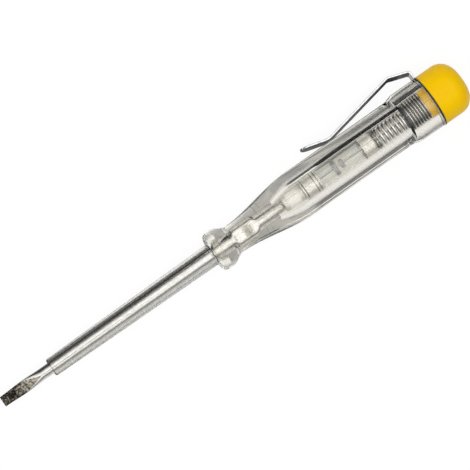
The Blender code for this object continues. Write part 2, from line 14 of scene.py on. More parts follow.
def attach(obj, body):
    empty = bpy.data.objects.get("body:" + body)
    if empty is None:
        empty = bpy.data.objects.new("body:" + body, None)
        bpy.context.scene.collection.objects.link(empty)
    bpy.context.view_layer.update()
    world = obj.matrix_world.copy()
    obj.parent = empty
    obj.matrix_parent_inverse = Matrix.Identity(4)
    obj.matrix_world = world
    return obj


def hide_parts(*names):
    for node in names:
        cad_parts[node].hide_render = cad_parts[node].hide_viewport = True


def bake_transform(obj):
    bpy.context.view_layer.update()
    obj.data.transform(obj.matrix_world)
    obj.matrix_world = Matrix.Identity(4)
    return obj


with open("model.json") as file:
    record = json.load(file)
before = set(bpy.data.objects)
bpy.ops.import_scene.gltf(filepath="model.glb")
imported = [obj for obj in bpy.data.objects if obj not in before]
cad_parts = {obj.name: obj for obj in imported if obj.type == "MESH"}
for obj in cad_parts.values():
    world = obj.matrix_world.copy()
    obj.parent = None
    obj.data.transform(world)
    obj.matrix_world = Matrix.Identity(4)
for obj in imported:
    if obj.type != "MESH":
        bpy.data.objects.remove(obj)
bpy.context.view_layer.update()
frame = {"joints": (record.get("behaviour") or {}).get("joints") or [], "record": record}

bl_info = {
    "name": "Voltage tester screwdriver",
    "version": (1, 0, 0),
    "blender": (4, 5, 0),
    "location": "3D View > Sidebar > Tester",
    "description": "Builds the pieces, materials and stage of a voltage tester screwdriver",
    "category": "Add Mesh",
}

MM = 0.001
MERGE = 0.0005 * MM
PLAY = 0.02 * MM
SHARP_ANGLE = 32.0
PICTURE_SIDE = 470
FULL_TURN = 2 * math.pi
FLEX = next(joint for joint in frame["joints"] if joint["name"] == "clip_flex")
ROLL = math.atan2(FLEX["pos_m"][2], FLEX["pos_m"][1])
PITCH = FULL_TURN / abs(frame["record"]["behaviour"]["couplings"][0]["ratio"])


def size(label, description, millimetres):
    """A length in the sidebar."""
    return bpy.props.FloatProperty(
        name=label, description=description, default=millimetres * MM, unit="LENGTH", precision=5)


def turn(label, description, degrees):
    """An angle in the sidebar."""
    return bpy.props.FloatProperty(
        name=label, description=description, default=math.radians(degrees), unit="ROTATION")


def number(label, description, value):
    """A plain number in the sidebar."""
    return bpy.props.FloatProperty(name=label, description=description, default=value, precision=4)


def count(label, description, value):
    """A whole number in the sidebar."""
    return bpy.props.IntProperty(name=label, description=description, default=value, min=1)


def colour(label, description, value):
    """A colour in the sidebar, as sRGB hex."""
    return bpy.props.StringProperty(name=label, description=description, default=value)


# Sizes that a user would change


class HandleSizes(bpy.types.PropertyGroup):
    """Clear handle, outside and inside."""

    front: size("Front", "Where the collar starts", 64.0)
    rear: size("Rear", "Where the boss ends", 130.38)
    collar_radius: size("Collar radius", "Radius of the collar", 5.32)
    collar_width: size("Collar width", "Length of the collar", 2.8)
    collar_rounding: size("Collar rounding", "Rounding of the collar's front edge", 1.2)
    neck_radius: size("Neck radius", "Radius at the neck", 3.87)
    neck_at: size("Neck", "Where the neck is narrowest", 70.4)
    body_radius: size("Body radius", "Radius of the round body", 6.3)
    body_front: size("Body front", "Where the flare ends", 90.0)
    body_rear: size("Body rear", "Where the ramp to the boss starts", 120.7)
    boss_radius: size("Boss radius", "Radius of the boss", 6.92)
    boss_front: size("Boss front", "Where the boss starts", 123.7)
    boss_rounding: size("Boss rounding", "Rounding of the boss's rear edge", 0.25)
    bore_radius: size("Bore radius", "Radius of the bore for lamp and spring", 2.88)
    bore_front: size("Bore front", "Where the bore starts", 83.2)
    nose_radius: size("Nose radius", "Radius of the bore's moulded front end", 1.85)
    nose_length: size("Nose length", "Length over which the bore widens", 5.8)
    thread_front: size("Thread front", "Where the threaded bore starts", 123.2)
    thread_step: size("Thread step", "Length of the chamfer before the thread", 0.4)
    seam_turn: turn("Seam", "Where the mould's parting line runs round the handle", 94.3)
    seam_height: size("Seam height", "Height of the parting line", 0.12)
    seam_width: size("Seam width", "Half width of the parting line", 0.09)
    insert_at: size("Insert line", "Where the mould's insert left a fine ring", 79.6)
    insert_line: size("Insert groove", "Depth of that ring and half its width", 0.06)
    sides: count("Sides", "Faces round the handle", 144)


class BladeSizes(bpy.types.PropertyGroup):
    """Blade and its insulating sleeve."""

    rod_radius: size("Rod radius", "Radius of the rod", 1.475)
    rod_rear: size("Rod rear", "Where the rod ends", 85.4)
    tip_width: size("Tip width", "Width at the end of the tip", 2.75)
    tip_thickness: size("Tip thickness", "Thickness at the end of the tip", 0.5)
    tip_edge: size("Tip edge", "Rounding of the tip's end", 0.05)
    wide_at: size("Widest at", "Where the forged tip is widest", 7.0)
    wide_width: size("Widest", "Width of the forged tip where it is widest", 3.2)
    wide_thickness: size("Root thickness", "Thickness where the tip is widest", 0.75)
    taper_end: size("Taper end", "Where the tip has become the round rod", 11.7)
    blade_turn: turn("Blade turn", "Turn of the tip's face about the rod", 14.6)
    wing_front: size("Wing front", "Where the pressed wings start", 69.7)
    wing_rear: size("Wing rear", "Where the pressed wings end", 77.8)
    wing_run: size("Wing run", "Length over which the wings rise", 1.6)
    pressed_at: size("Pressed place", "Middle of the punch's mark on the wings", 74.5)
    pressed_run: size("Pressed run", "Half length of the punch's mark", 1.6)
    dull_from: size("Dull from", "Where the rod's dull rear end starts", 79.4)
    wing_span: size("Wing span", "Width over the wings", 3.6)
    wing_thickness: size("Wing thickness", "Thickness at the wings", 2.4)
    sleeve_front: size("Sleeve front", "Where the sleeve starts", 14.6)
    sleeve_rear: size("Sleeve rear", "Where the sleeve ends in the collar", 66.4)
    sleeve_front_radius: size("Sleeve front radius", "Outer radius at the front", 2.4)
    sleeve_rear_radius: size("Sleeve rear radius", "Outer radius at the rear", 2.925)
    sleeve_nose: size("Sleeve nose", "Rounding of the sleeve's front edge", 0.5)
    socket_gap: size("Socket gap", "Air between the sleeve and the collar round it", 0.03)
    grip: size("Grip", "How tightly the plastic is shrunk on the metal", 0.06)


class InsideSizes(bpy.types.PropertyGroup):
    """Resistor, lamp and spring in the bore."""

    resistor_front: size("Resistor front", "Where the resistor starts", 85.45)
    resistor_rear: size("Resistor rear", "Where the resistor ends", 91.0)
    resistor_radius: size("Resistor radius", "Radius of the resistor's caps", 2.2)
    resistor_skirt: size("Resistor skirt", "Length of the resistor's caps", 1.1)
    lamp_front: size("Lamp front", "Where the lamp's front cap starts", 91.05)
    lamp_rear: size("Lamp rear", "Where the lamp's rear cap ends", 113.0)
    lamp_radius: size("Lamp radius", "Radius of the lamp's caps", 2.76)
    front_skirt: size("Front skirt", "Length of the front cap", 5.1)
    rear_skirt: size("Rear skirt", "Length of the rear cap", 3.9)
    sheet: size("Sheet", "Thickness of the pressed caps", 0.2)
    glass_wall: size("Glass wall", "Wall of the lamp's tube", 0.4)
    wire_radius: size("Wire radius", "Radius of the electrodes' wires", 0.2)
    disc_front: size("Front disc", "Where the front electrode's disc ends", 101.7)
    disc_rear: size("Rear disc", "Where the rear electrode's disc starts", 102.8)
    disc_thickness: size("Disc thickness", "Thickness of the electrodes' discs", 1.0)
    disc_radius: size("Disc radius", "Radius of the front electrode's disc", 2.08)
    small_disc_radius: size("Small disc radius", "Radius of the rear electrode's disc", 1.2)
    spring_front: size("Spring front", "Where the spring starts", 113.05)
    spring_rear: size("Spring rear", "Where the spring ends", 123.0)
    spring_radius: size("Spring radius", "Radius of the spring's centreline", 2.5)
    spring_wire: size("Spring wire", "Radius of the spring's wire", 0.28)
    spring_curls: number("Open curls", "Open turns of the spring", 6.6)
    spring_closed: number("Closed curls", "Closed turns at each end", 1.3)


class RearSizes(bpy.types.PropertyGroup):
    """Plug, cap and clip."""

    plug_front: size("Plug front", "Where the plug starts", 123.1)
    plug_rear: size("Plug rear", "Where the plug's thread ends", 128.45)
    nose_length: size("Plug nose", "Length of the plug's plain nose", 0.6)
    crest_radius: size("Crest radius", "Radius of the handle's thread at its roots", 3.99)
    thread_depth: size("Thread depth", "Depth of the thread", 0.36)
    thread_play: size("Thread play", "Play between plug and handle", 0.05)
    shank_radius: size("Shank radius", "Radius of the plug's shank in the cap", 1.5)
    shank_rear: size("Shank rear", "Where the shank ends", 135.6)
    cap_front: size("Cap front", "Where the cap's rim starts", 130.93)
    cap_rear: size("Cap rear", "Where the cap ends", 140.4)
    cap_radius: size("Cap radius", "Radius of the cap", 7.0)
    cap_rounding_length: size("Cap rounding length", "Length of the cap's rounded end", 4.4)
    cap_rounding_radius: size("Cap rounding radius", "Radius of the cap's rounded end", 4.6)
    cap_dome: size("Cap dome", "Height of the cap's domed end", 0.12)
    cap_rim_rounding: size("Cap rim rounding", "Rounding of the cap's rim", 0.2)
    ring_front: size("Ring front", "Front face of the clip's ring", 130.4)
    ring_radius: size("Ring radius", "Outer radius of the clip's ring", 7.1)
    clip_thickness: size("Clip thickness", "Thickness of the clip's strip", 0.5)
    clip_width: size("Clip width", "Width of the clip's strip", 5.0)
    clip_edge: size("Clip edge", "Rounding of the strip's edges", 0.09)
    arm_root_height: size("Arm root", "Height of the first bend above the boss", 1.95)
    apex_setback: size("Apex setback", "Distance of the highest bend from the ring", 5.5)
    apex_height: size("Apex height", "Height of the highest bend above the boss", 3.8)
    valley_setback: size("Valley setback", "Distance of the touching bend from the ring", 26.4)
    lip_setback: size("Lip setback", "Distance of the lip's end from the ring", 33.7)
    lip_height: size("Lip height", "Height of the lip above the body", 2.3)
    root_bend: size("Root bend", "Radius of the first bend", 0.8)
    apex_bend: size("Apex bend", "Radius of the highest bend", 1.0)
    valley_bend: size("Valley bend", "Radius of the touching bend", 4.0)


class StageSettings(bpy.types.PropertyGroup):
    """Place and aim of the camera."""

    tip_x: number("Tip x", "Where the tip is across the picture, in pixels", 2.8)
    tip_y: number("Tip y", "Where the tip is down the picture, in pixels", 401.9)
    slope: turn("Slope", "Slope of the tool in the picture", 35.12)
    away: turn("Away", "How far the cap is turned away from the camera", 6.8)
    round_turn: turn("Round turn", "How far the clip is turned away from the camera", 8.6)
    pixel: size("Pixel", "Size of a pixel at the tool", 0.2475)
    distance: size("Distance", "Distance of the camera", 1600.0)


class FinishColours(bpy.types.PropertyGroup):
    """Colours of the finishes."""

    clear: colour("Clear plastic", "Clear plastic of the handle", "FCFAF4")
    tube: colour("Clear tube", "Clear plastic of the sleeve", "FCFCFA")
    yellow: colour("Yellow plastic", "Yellow plastic of the cap", "EABE00")


GROUPS = {
    "tester_handle": HandleSizes,
    "tester_blade": BladeSizes,
    "tester_inside": InsideSizes,
    "tester_rear": RearSizes,
    "tester_stage": StageSettings,
    "tester_colours": FinishColours,
}


# Outlines


def shares(steps, first=1):
    """Equal steps up to 1, from step 0 or step 1."""
    return [step / steps for step in range(first, steps + 1)]


def between(start, end, share):
    """The value that lies this share of the way from start to end."""
    return start + (end - start) * share


def ease(share):
    """A smooth rise from 0 to 1 with level ends."""
    return share * share * (3 - 2 * share)


def even(share):
    """A straight rise from 0 to 1."""
    return share


def run(start, end, steps, shape=ease):
    """Points from one place to another, without the first. The radius follows the shape."""
    return [
        (between(start[0], end[0], share), between(start[1], end[1], shape(share)))
        for share in shares(steps)
    ]


def corner(x, radius, length, start, end, steps=8, height=None):
    """Points of part of an ellipse about (x, radius), its start and end given in quarter turns."""
    height = length if height is None else height
    angles = [math.pi / 2 * between(start, end, share) for share in shares(steps, 0)]
    return [(x + length * math.cos(angle), radius + height * math.sin(angle)) for angle in angles]


# Modelling


def clear_selection():
    """Go to object mode with nothing selected."""
    if bpy.context.mode != "OBJECT":
        bpy.ops.object.mode_set(mode="OBJECT")
    bpy.ops.object.select_all(action="DESELECT")


def pick(thing):
    """Select this object alone and make it active."""
    clear_selection()
    thing.select_set(True)
    bpy.context.view_layer.objects.active = thing


def apply_transform():
    """Put the active object's place, turn and scale into its mesh."""
    bpy.ops.object.transform_apply(location=True, rotation=True, scale=True)


def drawn_line(name, points):
    """A line of vertices in the XY plane, extruded from point to point. Edit mode stays on."""
    clear_selection()
    bpy.ops.mesh.primitive_plane_add(size=MM, location=(points[0][0], points[0][1], 0))
    line = bpy.context.object
    line.name = line.data.name = name
    apply_transform()
    bpy.ops.object.mode_set(mode="EDIT")
    bpy.ops.mesh.select_mode(type="VERT")
    bpy.ops.mesh.select_all(action="SELECT")
    bpy.ops.mesh.merge(type="CENTER")
    for (x_from, r_from), (x_to, r_to) in zip(points, points[1:]):
        bpy.ops.mesh.extrude_vertices_move(
            TRANSFORM_OT_translate={"value": (x_to - x_from, r_to - r_from, 0)})
    return line


def close_mesh():
    """In edit mode, merge doubles, drop loose edges and turn faces outwards, then go to object mode."""
    bpy.ops.mesh.select_all(action="SELECT")
    bpy.ops.mesh.remove_doubles(threshold=MERGE)
    bpy.ops.mesh.dissolve_degenerate(threshold=MERGE)
    bpy.ops.mesh.select_all(action="SELECT")
    bpy.ops.mesh.delete_loose()
    bpy.ops.mesh.select_all(action="SELECT")
    bpy.ops.mesh.normals_make_consistent(inside=False)
    bpy.ops.object.mode_set(mode="OBJECT")


def turned(name, outline, sides=72):
    """A piece turned about X from an outline that is closed, or that starts and ends on the axis."""
    made = drawn_line(name, outline)
    bpy.ops.mesh.select_all(action="SELECT")
    bpy.ops.mesh.spin(
        steps=sides, angle=FULL_TURN, use_auto_merge=True, center=(0, 0, 0), axis=(1, 0, 0))
    close_mesh()
    return made


def apply_modifier(thing, kind, **settings):
    """Add a modifier with its settings and apply it."""
    pick(thing)
    bpy.ops.object.modifier_add(type=kind)
    modifier = thing.modifiers[-1]
    for name, value in settings.items():
        setattr(modifier, name, value)
    bpy.ops.object.modifier_apply(modifier=modifier.name)


def join_solid(made, part):
    """Unite a second solid with the first."""
    apply_modifier(made, "BOOLEAN", operation="UNION", solver="EXACT", object=part)
    bpy.data.objects.remove(part)


def cut_all(place, normal, **settings):
    """In edit mode, cut the whole mesh along a plane."""
    bpy.ops.mesh.select_all(action="SELECT")
    bpy.ops.mesh.bisect(plane_co=place, plane_no=normal, threshold=MERGE, **settings)


def threaded_rod(name, x_from, x_to, root, crest, phase_at):
    """A closed rod with a helical thread, cut flat at both ends."""
    flat, steps = 0.06, 72
    tooth = [
        (0.0, root), (flat, root), (0.5 - flat, crest),
        (0.5 + flat, crest), (1 - flat, root), (1.0, root),
    ]
    line = drawn_line(name, [(phase_at + PITCH * share, radius) for share, radius in tooth])
    bpy.ops.object.mode_set(mode="OBJECT")
    apply_modifier(
        line, "SCREW", axis="X", angle=FULL_TURN, screw_offset=PITCH, steps=steps, render_steps=steps,
        iterations=math.ceil((x_to - phase_at) / PITCH) + 2, use_merge_vertices=True,
        merge_threshold=MERGE, use_normal_calculate=True)
    pick(line)
    bpy.ops.object.mode_set(mode="EDIT")
    for place, way in ((x_from, -1), (x_to, 1)):
        cut_all((place, 0, 0), (way, 0, 0), use_fill=True, clear_outer=True)
    close_mesh()
    return line


def select_verts(test):
    """In edit mode, select the vertices that pass a test on their place."""
    mesh = bpy.context.object.data
    bpy.ops.mesh.select_all(action="DESELECT")
    builder = bmesh.from_edit_mesh(mesh)
    for vert in builder.verts:
        vert.select = test(vert.co)
    builder.select_flush_mode()
    bmesh.update_edit_mesh(mesh)


def settle(made, look, angle=SHARP_ANGLE, turned_by=0.0):
    """Roll a closed piece to where the frame lies, shade it and give it its material."""
    builder = bmesh.new()
    builder.from_mesh(made.data)
    if not all(edge.is_manifold for edge in builder.edges):
        raise RuntimeError(f"{made.name} isn't closed")
    builder.free()
    pick(made)
    made.rotation_euler = (ROLL + turned_by, 0, 0)
    apply_transform()
    bpy.ops.object.shade_smooth_by_angle(angle=math.radians(angle))
    made.data.materials.clear()
    made.data.materials.append(look)
    clear_selection()


# Materials


def linear(hex_colour):
    """Linear colour from sRGB hex."""
    parts = [int(hex_colour[at:at + 2], 16) / 255 for at in (0, 2, 4)]
    return (*[c / 12.92 if c <= 0.04045 else ((c + 0.055) / 1.055) ** 2.4 for c in parts], 1.0)


def feed(tree, node, inputs):
    """Give a node's inputs plain values or the outputs of other nodes."""
    for socket, value in inputs.items():
        if isinstance(value, bpy.types.NodeSocket):
            tree.links.new(value, node.inputs[socket])
        else:
            node.inputs[socket].default_value = value


def add_node(tree, kind, inputs=None, **properties):
    """Add a node with its properties and inputs."""
    made = tree.nodes.new(kind)
    for name, value in properties.items():
        setattr(made, name, value)
    feed(tree, made, inputs or {})
    return made


def new_material(name, **values):
    """A Principled material with its plain values, its tree and its shader."""
    made = bpy.data.materials.new(name)
    made.use_nodes = True
    shader = made.node_tree.nodes["Principled BSDF"]
    feed(made.node_tree, shader, {socket.replace("_", " "): value for socket, value in values.items()})
    return made, made.node_tree, shader


def maths(tree, operation, first, second=0.0):
    """One step of arithmetic on outputs and plain numbers."""
    return add_node(tree, "ShaderNodeMath", {0: first, 1: second}, operation=operation).outputs[0]


def vector_maths(tree, operation, first, second=(0, 0, 0)):
    """A node for one step of arithmetic on directions and places."""
    return add_node(tree, "ShaderNodeVectorMath", {0: first, 1: second}, operation=operation)


def noise(tree, coordinates, grain, detail=3.0, stretch=(1.0, 1.0, 1.0), roughness=0.5):
    """Noise with its grain given in metres."""
    place = add_node(tree, "ShaderNodeMapping", {"Vector": coordinates, "Scale": stretch}).outputs[0]
    return add_node(tree, "ShaderNodeTexNoise", {
        "Vector": place, "Scale": 1.0 / grain, "Detail": detail, "Roughness": roughness}).outputs["Fac"]


def shaded(tree, source, stops):
    """A colour ramp with stops of place and linear colour."""
    made = add_node(tree, "ShaderNodeValToRGB", {"Fac": source})
    line = made.color_ramp.elements
    for element, (place, value) in ((line[0], stops[0]), (line[-1], stops[-1])):
        element.position, element.color = place, value
    for place, value in stops[1:-1]:
        line.new(place).color = value
    return made.outputs["Color"]


def ramp(tree, source, *stops):
    """A colour ramp with stops of place and sRGB hex."""
    return shaded(tree, source, [(place, linear(value)) for place, value in stops])


def clouded(tree, source, dark, light, low=0.35, high=0.65):
    """Two colours that noise clouds into one another."""
    return ramp(tree, source, (low, dark), (high, light))


def mixed(tree, share, first, second):
    """Two colours mixed by a share. Each is an output or sRGB hex."""
    pair = {6: first, 7: second}
    pair = {socket: linear(value) if isinstance(value, str) else value for socket, value in pair.items()}
    return add_node(tree, "ShaderNodeMix", {0: share, **pair}, data_type="RGBA").outputs[2]


def spread(tree, source, from_low, from_high, low, high):
    """A value moved from one range to another."""
    return add_node(tree, "ShaderNodeMapRange", {
        "Value": source, "From Min": from_low, "From Max": from_high,
        "To Min": low, "To Max": high}).outputs["Result"]


def bump(tree, height, distance):
    """Fine relief from a height, its depth given in metres."""
    return add_node(tree, "ShaderNodeBump", {"Height": height, "Distance": distance}).outputs["Normal"]


def object_place(tree):
    """Object coordinates."""
    return add_node(tree, "ShaderNodeTexCoord").outputs["Object"]


def parts_of(tree, place):
    """X, Y and Z of a place."""
    return add_node(tree, "ShaderNodeSeparateXYZ", {"Vector": place}).outputs


def marked(tree, name):
    """A mark that the mesh carries."""
    return add_node(tree, "ShaderNodeAttribute", attribute_name=name).outputs["Fac"]


def reach_from_axis(tree, place):
    """Distance from the tool's axis."""
    across = vector_maths(tree, "MULTIPLY", place, (0, 1, 1)).outputs[0]
    return vector_maths(tree, "LENGTH", across).outputs["Value"]


def painted_shade_lines(tree, place, unshaded, lines):
    """Colour with uneven lines of painted shade round the axis, each with its place and half width."""
    if not lines:
        return unshaded
    along = parts_of(tree, place)["X"]
    patches = spread(tree, noise(tree, place, 0.5 * MM, detail=2.0), 0.4, 0.6, 0.35, 1.0)
    surface = unshaded
    for at, half in lines:
        away = maths(tree, "ABSOLUTE", maths(tree, "SUBTRACT", along, at))
        near = spread(tree, away, 0.6 * half, 1.3 * half, 1.0, 0.0)
        # Painted shade: each line mixes towards dark 2A2722, where shade falls in beads and between
        # parts.
        surface = mixed(tree, maths(tree, "MULTIPLY", near, patches), surface, "2A2722")
    return surface


def clear_plastic(name, tint, ior, grain):
    """Moulded clear plastic: sharp to look through, with faint waves from the mould."""
    made, tree, shader = new_material(
        name, Base_Color=linear(tint), Roughness=0.015, IOR=ior, Transmission_Weight=1.0)
    waves = noise(tree, object_place(tree), grain, detail=1.0)
    feed(tree, shader, {"Normal": bump(tree, waves, 0.003 * MM)})
    return made


def drawn_glass():
    """Drawn soda glass: slightly milky, with long faint draw lines."""
    made, tree, shader = new_material(
        "drawn_soda_glass", Base_Color=linear("F6F6F3"), Roughness=0.06, IOR=1.5,
        Transmission_Weight=0.93)
    draw_lines = noise(tree, object_place(tree), 0.6 * MM, detail=1.0, stretch=(0.15, 1.0, 1.0))
    feed(tree, shader, {"Normal": bump(tree, draw_lines, 0.004 * MM)})
    return made


def plated_metal(name, dark, light, roughness, grain, relief, lines=()):
    """Plated pressed metal: clouded, unevenly glossy, finely dented, and darkened by painted shade along
    the lines it is given.
    """
    made, tree, shader = new_material(name, Metallic=1.0)
    place = object_place(tree)
    fine = noise(tree, place, grain, detail=4.0)
    feed(tree, shader, {
        "Base Color": painted_shade_lines(tree, place, clouded(tree, fine, dark, light), lines),
        "Roughness": spread(tree, fine, 0.3, 0.7, roughness * 1.3, roughness * 0.8),
        "Normal": bump(tree, fine, relief)})
    return made


def chromed_strip():
    """Chromed spring steel: bright and even outside, dull and with painted shade on the side towards the
    handle and on the ring's rim.
    """
    made, tree, shader = new_material("chromed_spring_steel", Metallic=1.0)
    fine = noise(tree, object_place(tree), 0.8 * MM, detail=4.0)
    inner = marked(tree, "inner")
    # Painted shade: the marked faces get a dark copy of the chrome.
    outside, inside = clouded(tree, fine, "C9CACC", "E9EAEC"), clouded(tree, fine, "2E2E2E", "4A4A49")
    feed(tree, shader, {
        "Base Color": mixed(tree, inner, outside, inside),
        "Roughness": spread(tree, inner, 0.0, 1.0, 0.09, 0.35),
        "Normal": bump(tree, fine, 0.004 * MM)})
    return made


def wound_wire(radius, half, lines):
    """Zinc-plated spring wire: bright outside, dull and with painted shade on the inside of its curls.
    """
    made, tree, shader = new_material("zinc_plated_spring_wire", Metallic=1.0)
    place = object_place(tree)
    fine = noise(tree, place, 0.25 * MM, detail=4.0)
    bright = painted_shade_lines(tree, place, clouded(tree, fine, "DEDCD8", "FAF9F6"), lines)
    edge = 0.3 * half
    # Painted shade: the side of the wire towards the spring's axis turns dark.
    outside = spread(tree, reach_from_axis(tree, place), radius - edge, radius + edge, 0.0, 1.0)
    feed(tree, shader, {
        "Base Color": mixed(tree, outside, "2B2925", bright),
        "Roughness": spread(tree, outside, 0.0, 1.0, 0.5, 0.24),
        "Normal": bump(tree, fine, 0.003 * MM)})
    return made


def turned_thread(root, crest):
    """Nickel-plated turned brass: bright crests, and painted shade that darkens the roots."""
    made, tree, shader = new_material("nickel_plated_brass", Metallic=1.0, Roughness=0.2)
    place = object_place(tree)
    # Painted shade: colour by distance from the axis, dark in the roots of the thread and bright at the
    # crests.
    height = spread(tree, reach_from_axis(tree, place), root, crest, 0.0, 1.0)
    feed(tree, shader, {
        "Base Color": ramp(tree, height, (0.0, "1A1815"), (0.5, "57534C"), (1.0, "E9E6DF")),
        "Normal": bump(tree, noise(tree, place, 0.3 * MM, detail=4.0), 0.01 * MM)})
    return made


def forged_steel():
    """Nickel-plated drawn rod: bright with fine streaks, dark mottled scale where it was forged."""
    made, tree, shader = new_material("nickel_plated_forged_steel", Metallic=1.0)
    place = object_place(tree)
    forged = marked(tree, "forged")
    streaks = noise(tree, place, 0.25 * MM, detail=2.0, stretch=(0.25, 1.0, 1.0))
    grains = noise(tree, place, 0.5 * MM, detail=3.0, roughness=0.7)
    paler_rearwards = spread(tree, parts_of(tree, place)["X"], 3.5 * MM, 8.0 * MM, -0.08, 0.10)
    mottle = maths(tree, "ADD", grains, paler_rearwards)
    scale = ramp(tree, mottle, (0.36, "12110F"), (0.48, "4A463F"), (0.56, "7F7A6E"), (0.66, "B2AC9E"))
    dents = noise(tree, place, 0.7 * MM, detail=2.0, stretch=(0.6, 1.0, 1.0))
    height = add_node(
        tree, "ShaderNodeMix", {0: forged, 2: maths(tree, "MULTIPLY", dents, 0.6), 3: mottle},
        data_type="FLOAT").outputs[0]
    feed(tree, shader, {
        "Base Color": mixed(tree, forged, clouded(tree, streaks, "C4C2BD", "E6E4E0", 0.3, 0.7), scale),
        "Roughness": spread(tree, forged, 0.0, 1.0, 0.14, 0.45),
        "Normal": bump(tree, height, 0.045 * MM)})
    return made


def yellow_plastic(tint):
    """Moulded yellow ABS: even colour, soft gloss and a faint orange peel."""
    made, tree, shader = new_material(
        "yellow_abs", Roughness=0.32, IOR=1.45, Specular_IOR_Level=0.1, Subsurface_Weight=0.1,
        Subsurface_Scale=1.0 * MM)
    place = object_place(tree)
    cloud = noise(tree, place, 6.0 * MM, detail=2.0)
    feed(tree, shader, {
        "Base Color": clouded(tree, cloud, "E4B400", tint, 0.3, 0.7),
        "Normal": bump(tree, noise(tree, place, 0.7 * MM, detail=2.0), 0.01 * MM)})
    return made


def ceramic():
    """White glazed ceramic pellet with grey specks."""
    made, tree, shader = new_material("glazed_ceramic", Roughness=0.35)
    specks = noise(tree, object_place(tree), 0.4 * MM, detail=3.0)
    feed(tree, shader, {
        "Base Color": clouded(tree, specks, "DEDCD6", "FBFAF7", 0.3, 0.6),
        "Normal": bump(tree, specks, 0.02 * MM)})
    return made


# Pieces


def outer_radius(sizes, x):
    """Radius of the handle's outside behind the neck."""
    flared = (x - sizes.neck_at) / (sizes.body_front - sizes.neck_at)
    ramped = (x - sizes.body_rear) / (sizes.boss_front - sizes.body_rear)
    flared, ramped = (ease(min(1.0, max(0.0, share))) for share in (flared, ramped))
    return (
        between(sizes.neck_radius, sizes.body_radius, flared)
        + (sizes.boss_radius - sizes.body_radius) * ramped)


def handle_outline(sizes, blade, rear):
    """Collar, neck, flare, body and boss, then the bore, back to the start."""
    rounding, edge, groove, ring = (
        sizes.collar_rounding, sizes.boss_rounding, sizes.insert_line, sizes.insert_at)
    socket = blade.sleeve_rear_radius + blade.socket_gap
    socket_end = blade.sleeve_rear + blade.socket_gap
    rod_hole = blade.rod_radius - blade.grip
    wing_hole = blade.wing_thickness / 2 - blade.grip
    collar_top = (sizes.front + sizes.collar_width, sizes.collar_radius)
    neck = (sizes.neck_at, sizes.neck_radius)
    body_front, body_rear = (sizes.body_front, sizes.body_radius), (sizes.body_rear, sizes.body_radius)
    flare = run(neck, body_front, 36)
    fullness = 0.3
    nose = [
        (
            between(sizes.bore_front, sizes.bore_front + sizes.nose_length, share),
            between(sizes.nose_radius, sizes.bore_radius, share * (1 + fullness - fullness * share)),
        )
        for share in reversed(shares(14, 0))
    ]
    return [
        (sizes.front, socket),
        *corner(sizes.front + rounding, sizes.collar_radius - rounding, rounding, 2, 1),
        collar_top,
        *run(collar_top, neck, 14),
        *[point for point in flare if point[0] < ring - 1.5 * groove],
        (ring - groove, outer_radius(sizes, ring - groove)),
        (ring, outer_radius(sizes, ring) - groove),
        (ring + groove, outer_radius(sizes, ring + groove)),
        *[point for point in flare if point[0] > ring + 1.5 * groove],
        *run(body_front, body_rear, 6, even),
        *run(body_rear, (sizes.boss_front, sizes.boss_radius), 8),
        *corner(sizes.rear - edge, sizes.boss_radius - edge, edge, 1, 0, 4),
        (sizes.rear, rear.crest_radius),
        (sizes.thread_front, rear.crest_radius),
        (sizes.thread_front - sizes.thread_step, sizes.bore_radius),
        *nose,
        (sizes.bore_front, rod_hole),
        (blade.wing_rear + blade.wing_run, rod_hole),
        (blade.wing_rear, wing_hole),
        (blade.wing_front, wing_hole),
        (blade.wing_front - blade.wing_run, rod_hole),
        (socket_end, rod_hole),
        (socket_end, socket),
        (sizes.front, socket),
    ]


def raise_seam(sizes):
    """In edit mode, cut three lines along the handle and lift the middle one as the parting line."""
    half = sizes.seam_width / sizes.body_radius
    for angle in (sizes.seam_turn - half, sizes.seam_turn, sizes.seam_turn + half):
        cut_all((0, 0, 0), (0, -math.sin(angle), math.cos(angle)))
    across = Vector((0, math.cos(sizes.seam_turn), math.sin(sizes.seam_turn)))
    beside = Vector((0, -across.z, across.y))
    seam_end, outside = sizes.rear - 1.0 * MM, 0.95
    for side in (across, -across):
        select_verts(lambda place: (
            sizes.neck_at < place.x < seam_end and abs(place.dot(beside)) < MERGE
            and place.dot(side) > outside * outer_radius(sizes, place.x)))
        bpy.ops.transform.translate(value=side * sizes.seam_height)


class TESTER_OT_handle(bpy.types.Operator):
    """Turn the clear handle with its bore and raise the mould's parting line"""

    bl_idname = "tester.handle"
    bl_label = "Clear handle"

    def execute(self, context):
        scene = context.scene
        sizes = scene.tester_handle
        made = turned(
            "clear_handle", handle_outline(sizes, scene.tester_blade, scene.tester_rear), sizes.sides)
        pick(made)
        bpy.ops.object.mode_set(mode="EDIT")
        raise_seam(sizes)
        bpy.ops.object.mode_set(mode="OBJECT")
        settle(made, clear_plastic("clear_polycarbonate", scene.tester_colours.clear, 1.58, 2.5 * MM))
        made.visible_shadow = False
        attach(made, "handle")
        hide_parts("handle")
        return {"FINISHED"}


class TESTER_OT_sleeve(bpy.types.Operator):
    """Turn the clear insulating sleeve"""

    bl_idname = "tester.sleeve"
    bl_label = "Sleeve"

    def execute(self, context):
        sizes = context.scene.tester_blade
        front, nose = sizes.sleeve_front, sizes.sleeve_nose
        hole = sizes.rod_radius - sizes.grip
        made = turned("clear_sleeve", [
            (front, hole),
            *corner(front + nose, sizes.sleeve_front_radius - nose, nose, 2, 1, 6),
            (sizes.sleeve_rear, sizes.sleeve_rear_radius),
            (sizes.sleeve_rear, hole),
            (front, hole),
        ], 96)
        settle(made, clear_plastic("clear_pvc", context.scene.tester_colours.tube, 1.5, 1.5 * MM))
        made.visible_shadow = False
        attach(made, "handle")
        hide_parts("blade_sleeve")
        return {"FINISHED"}


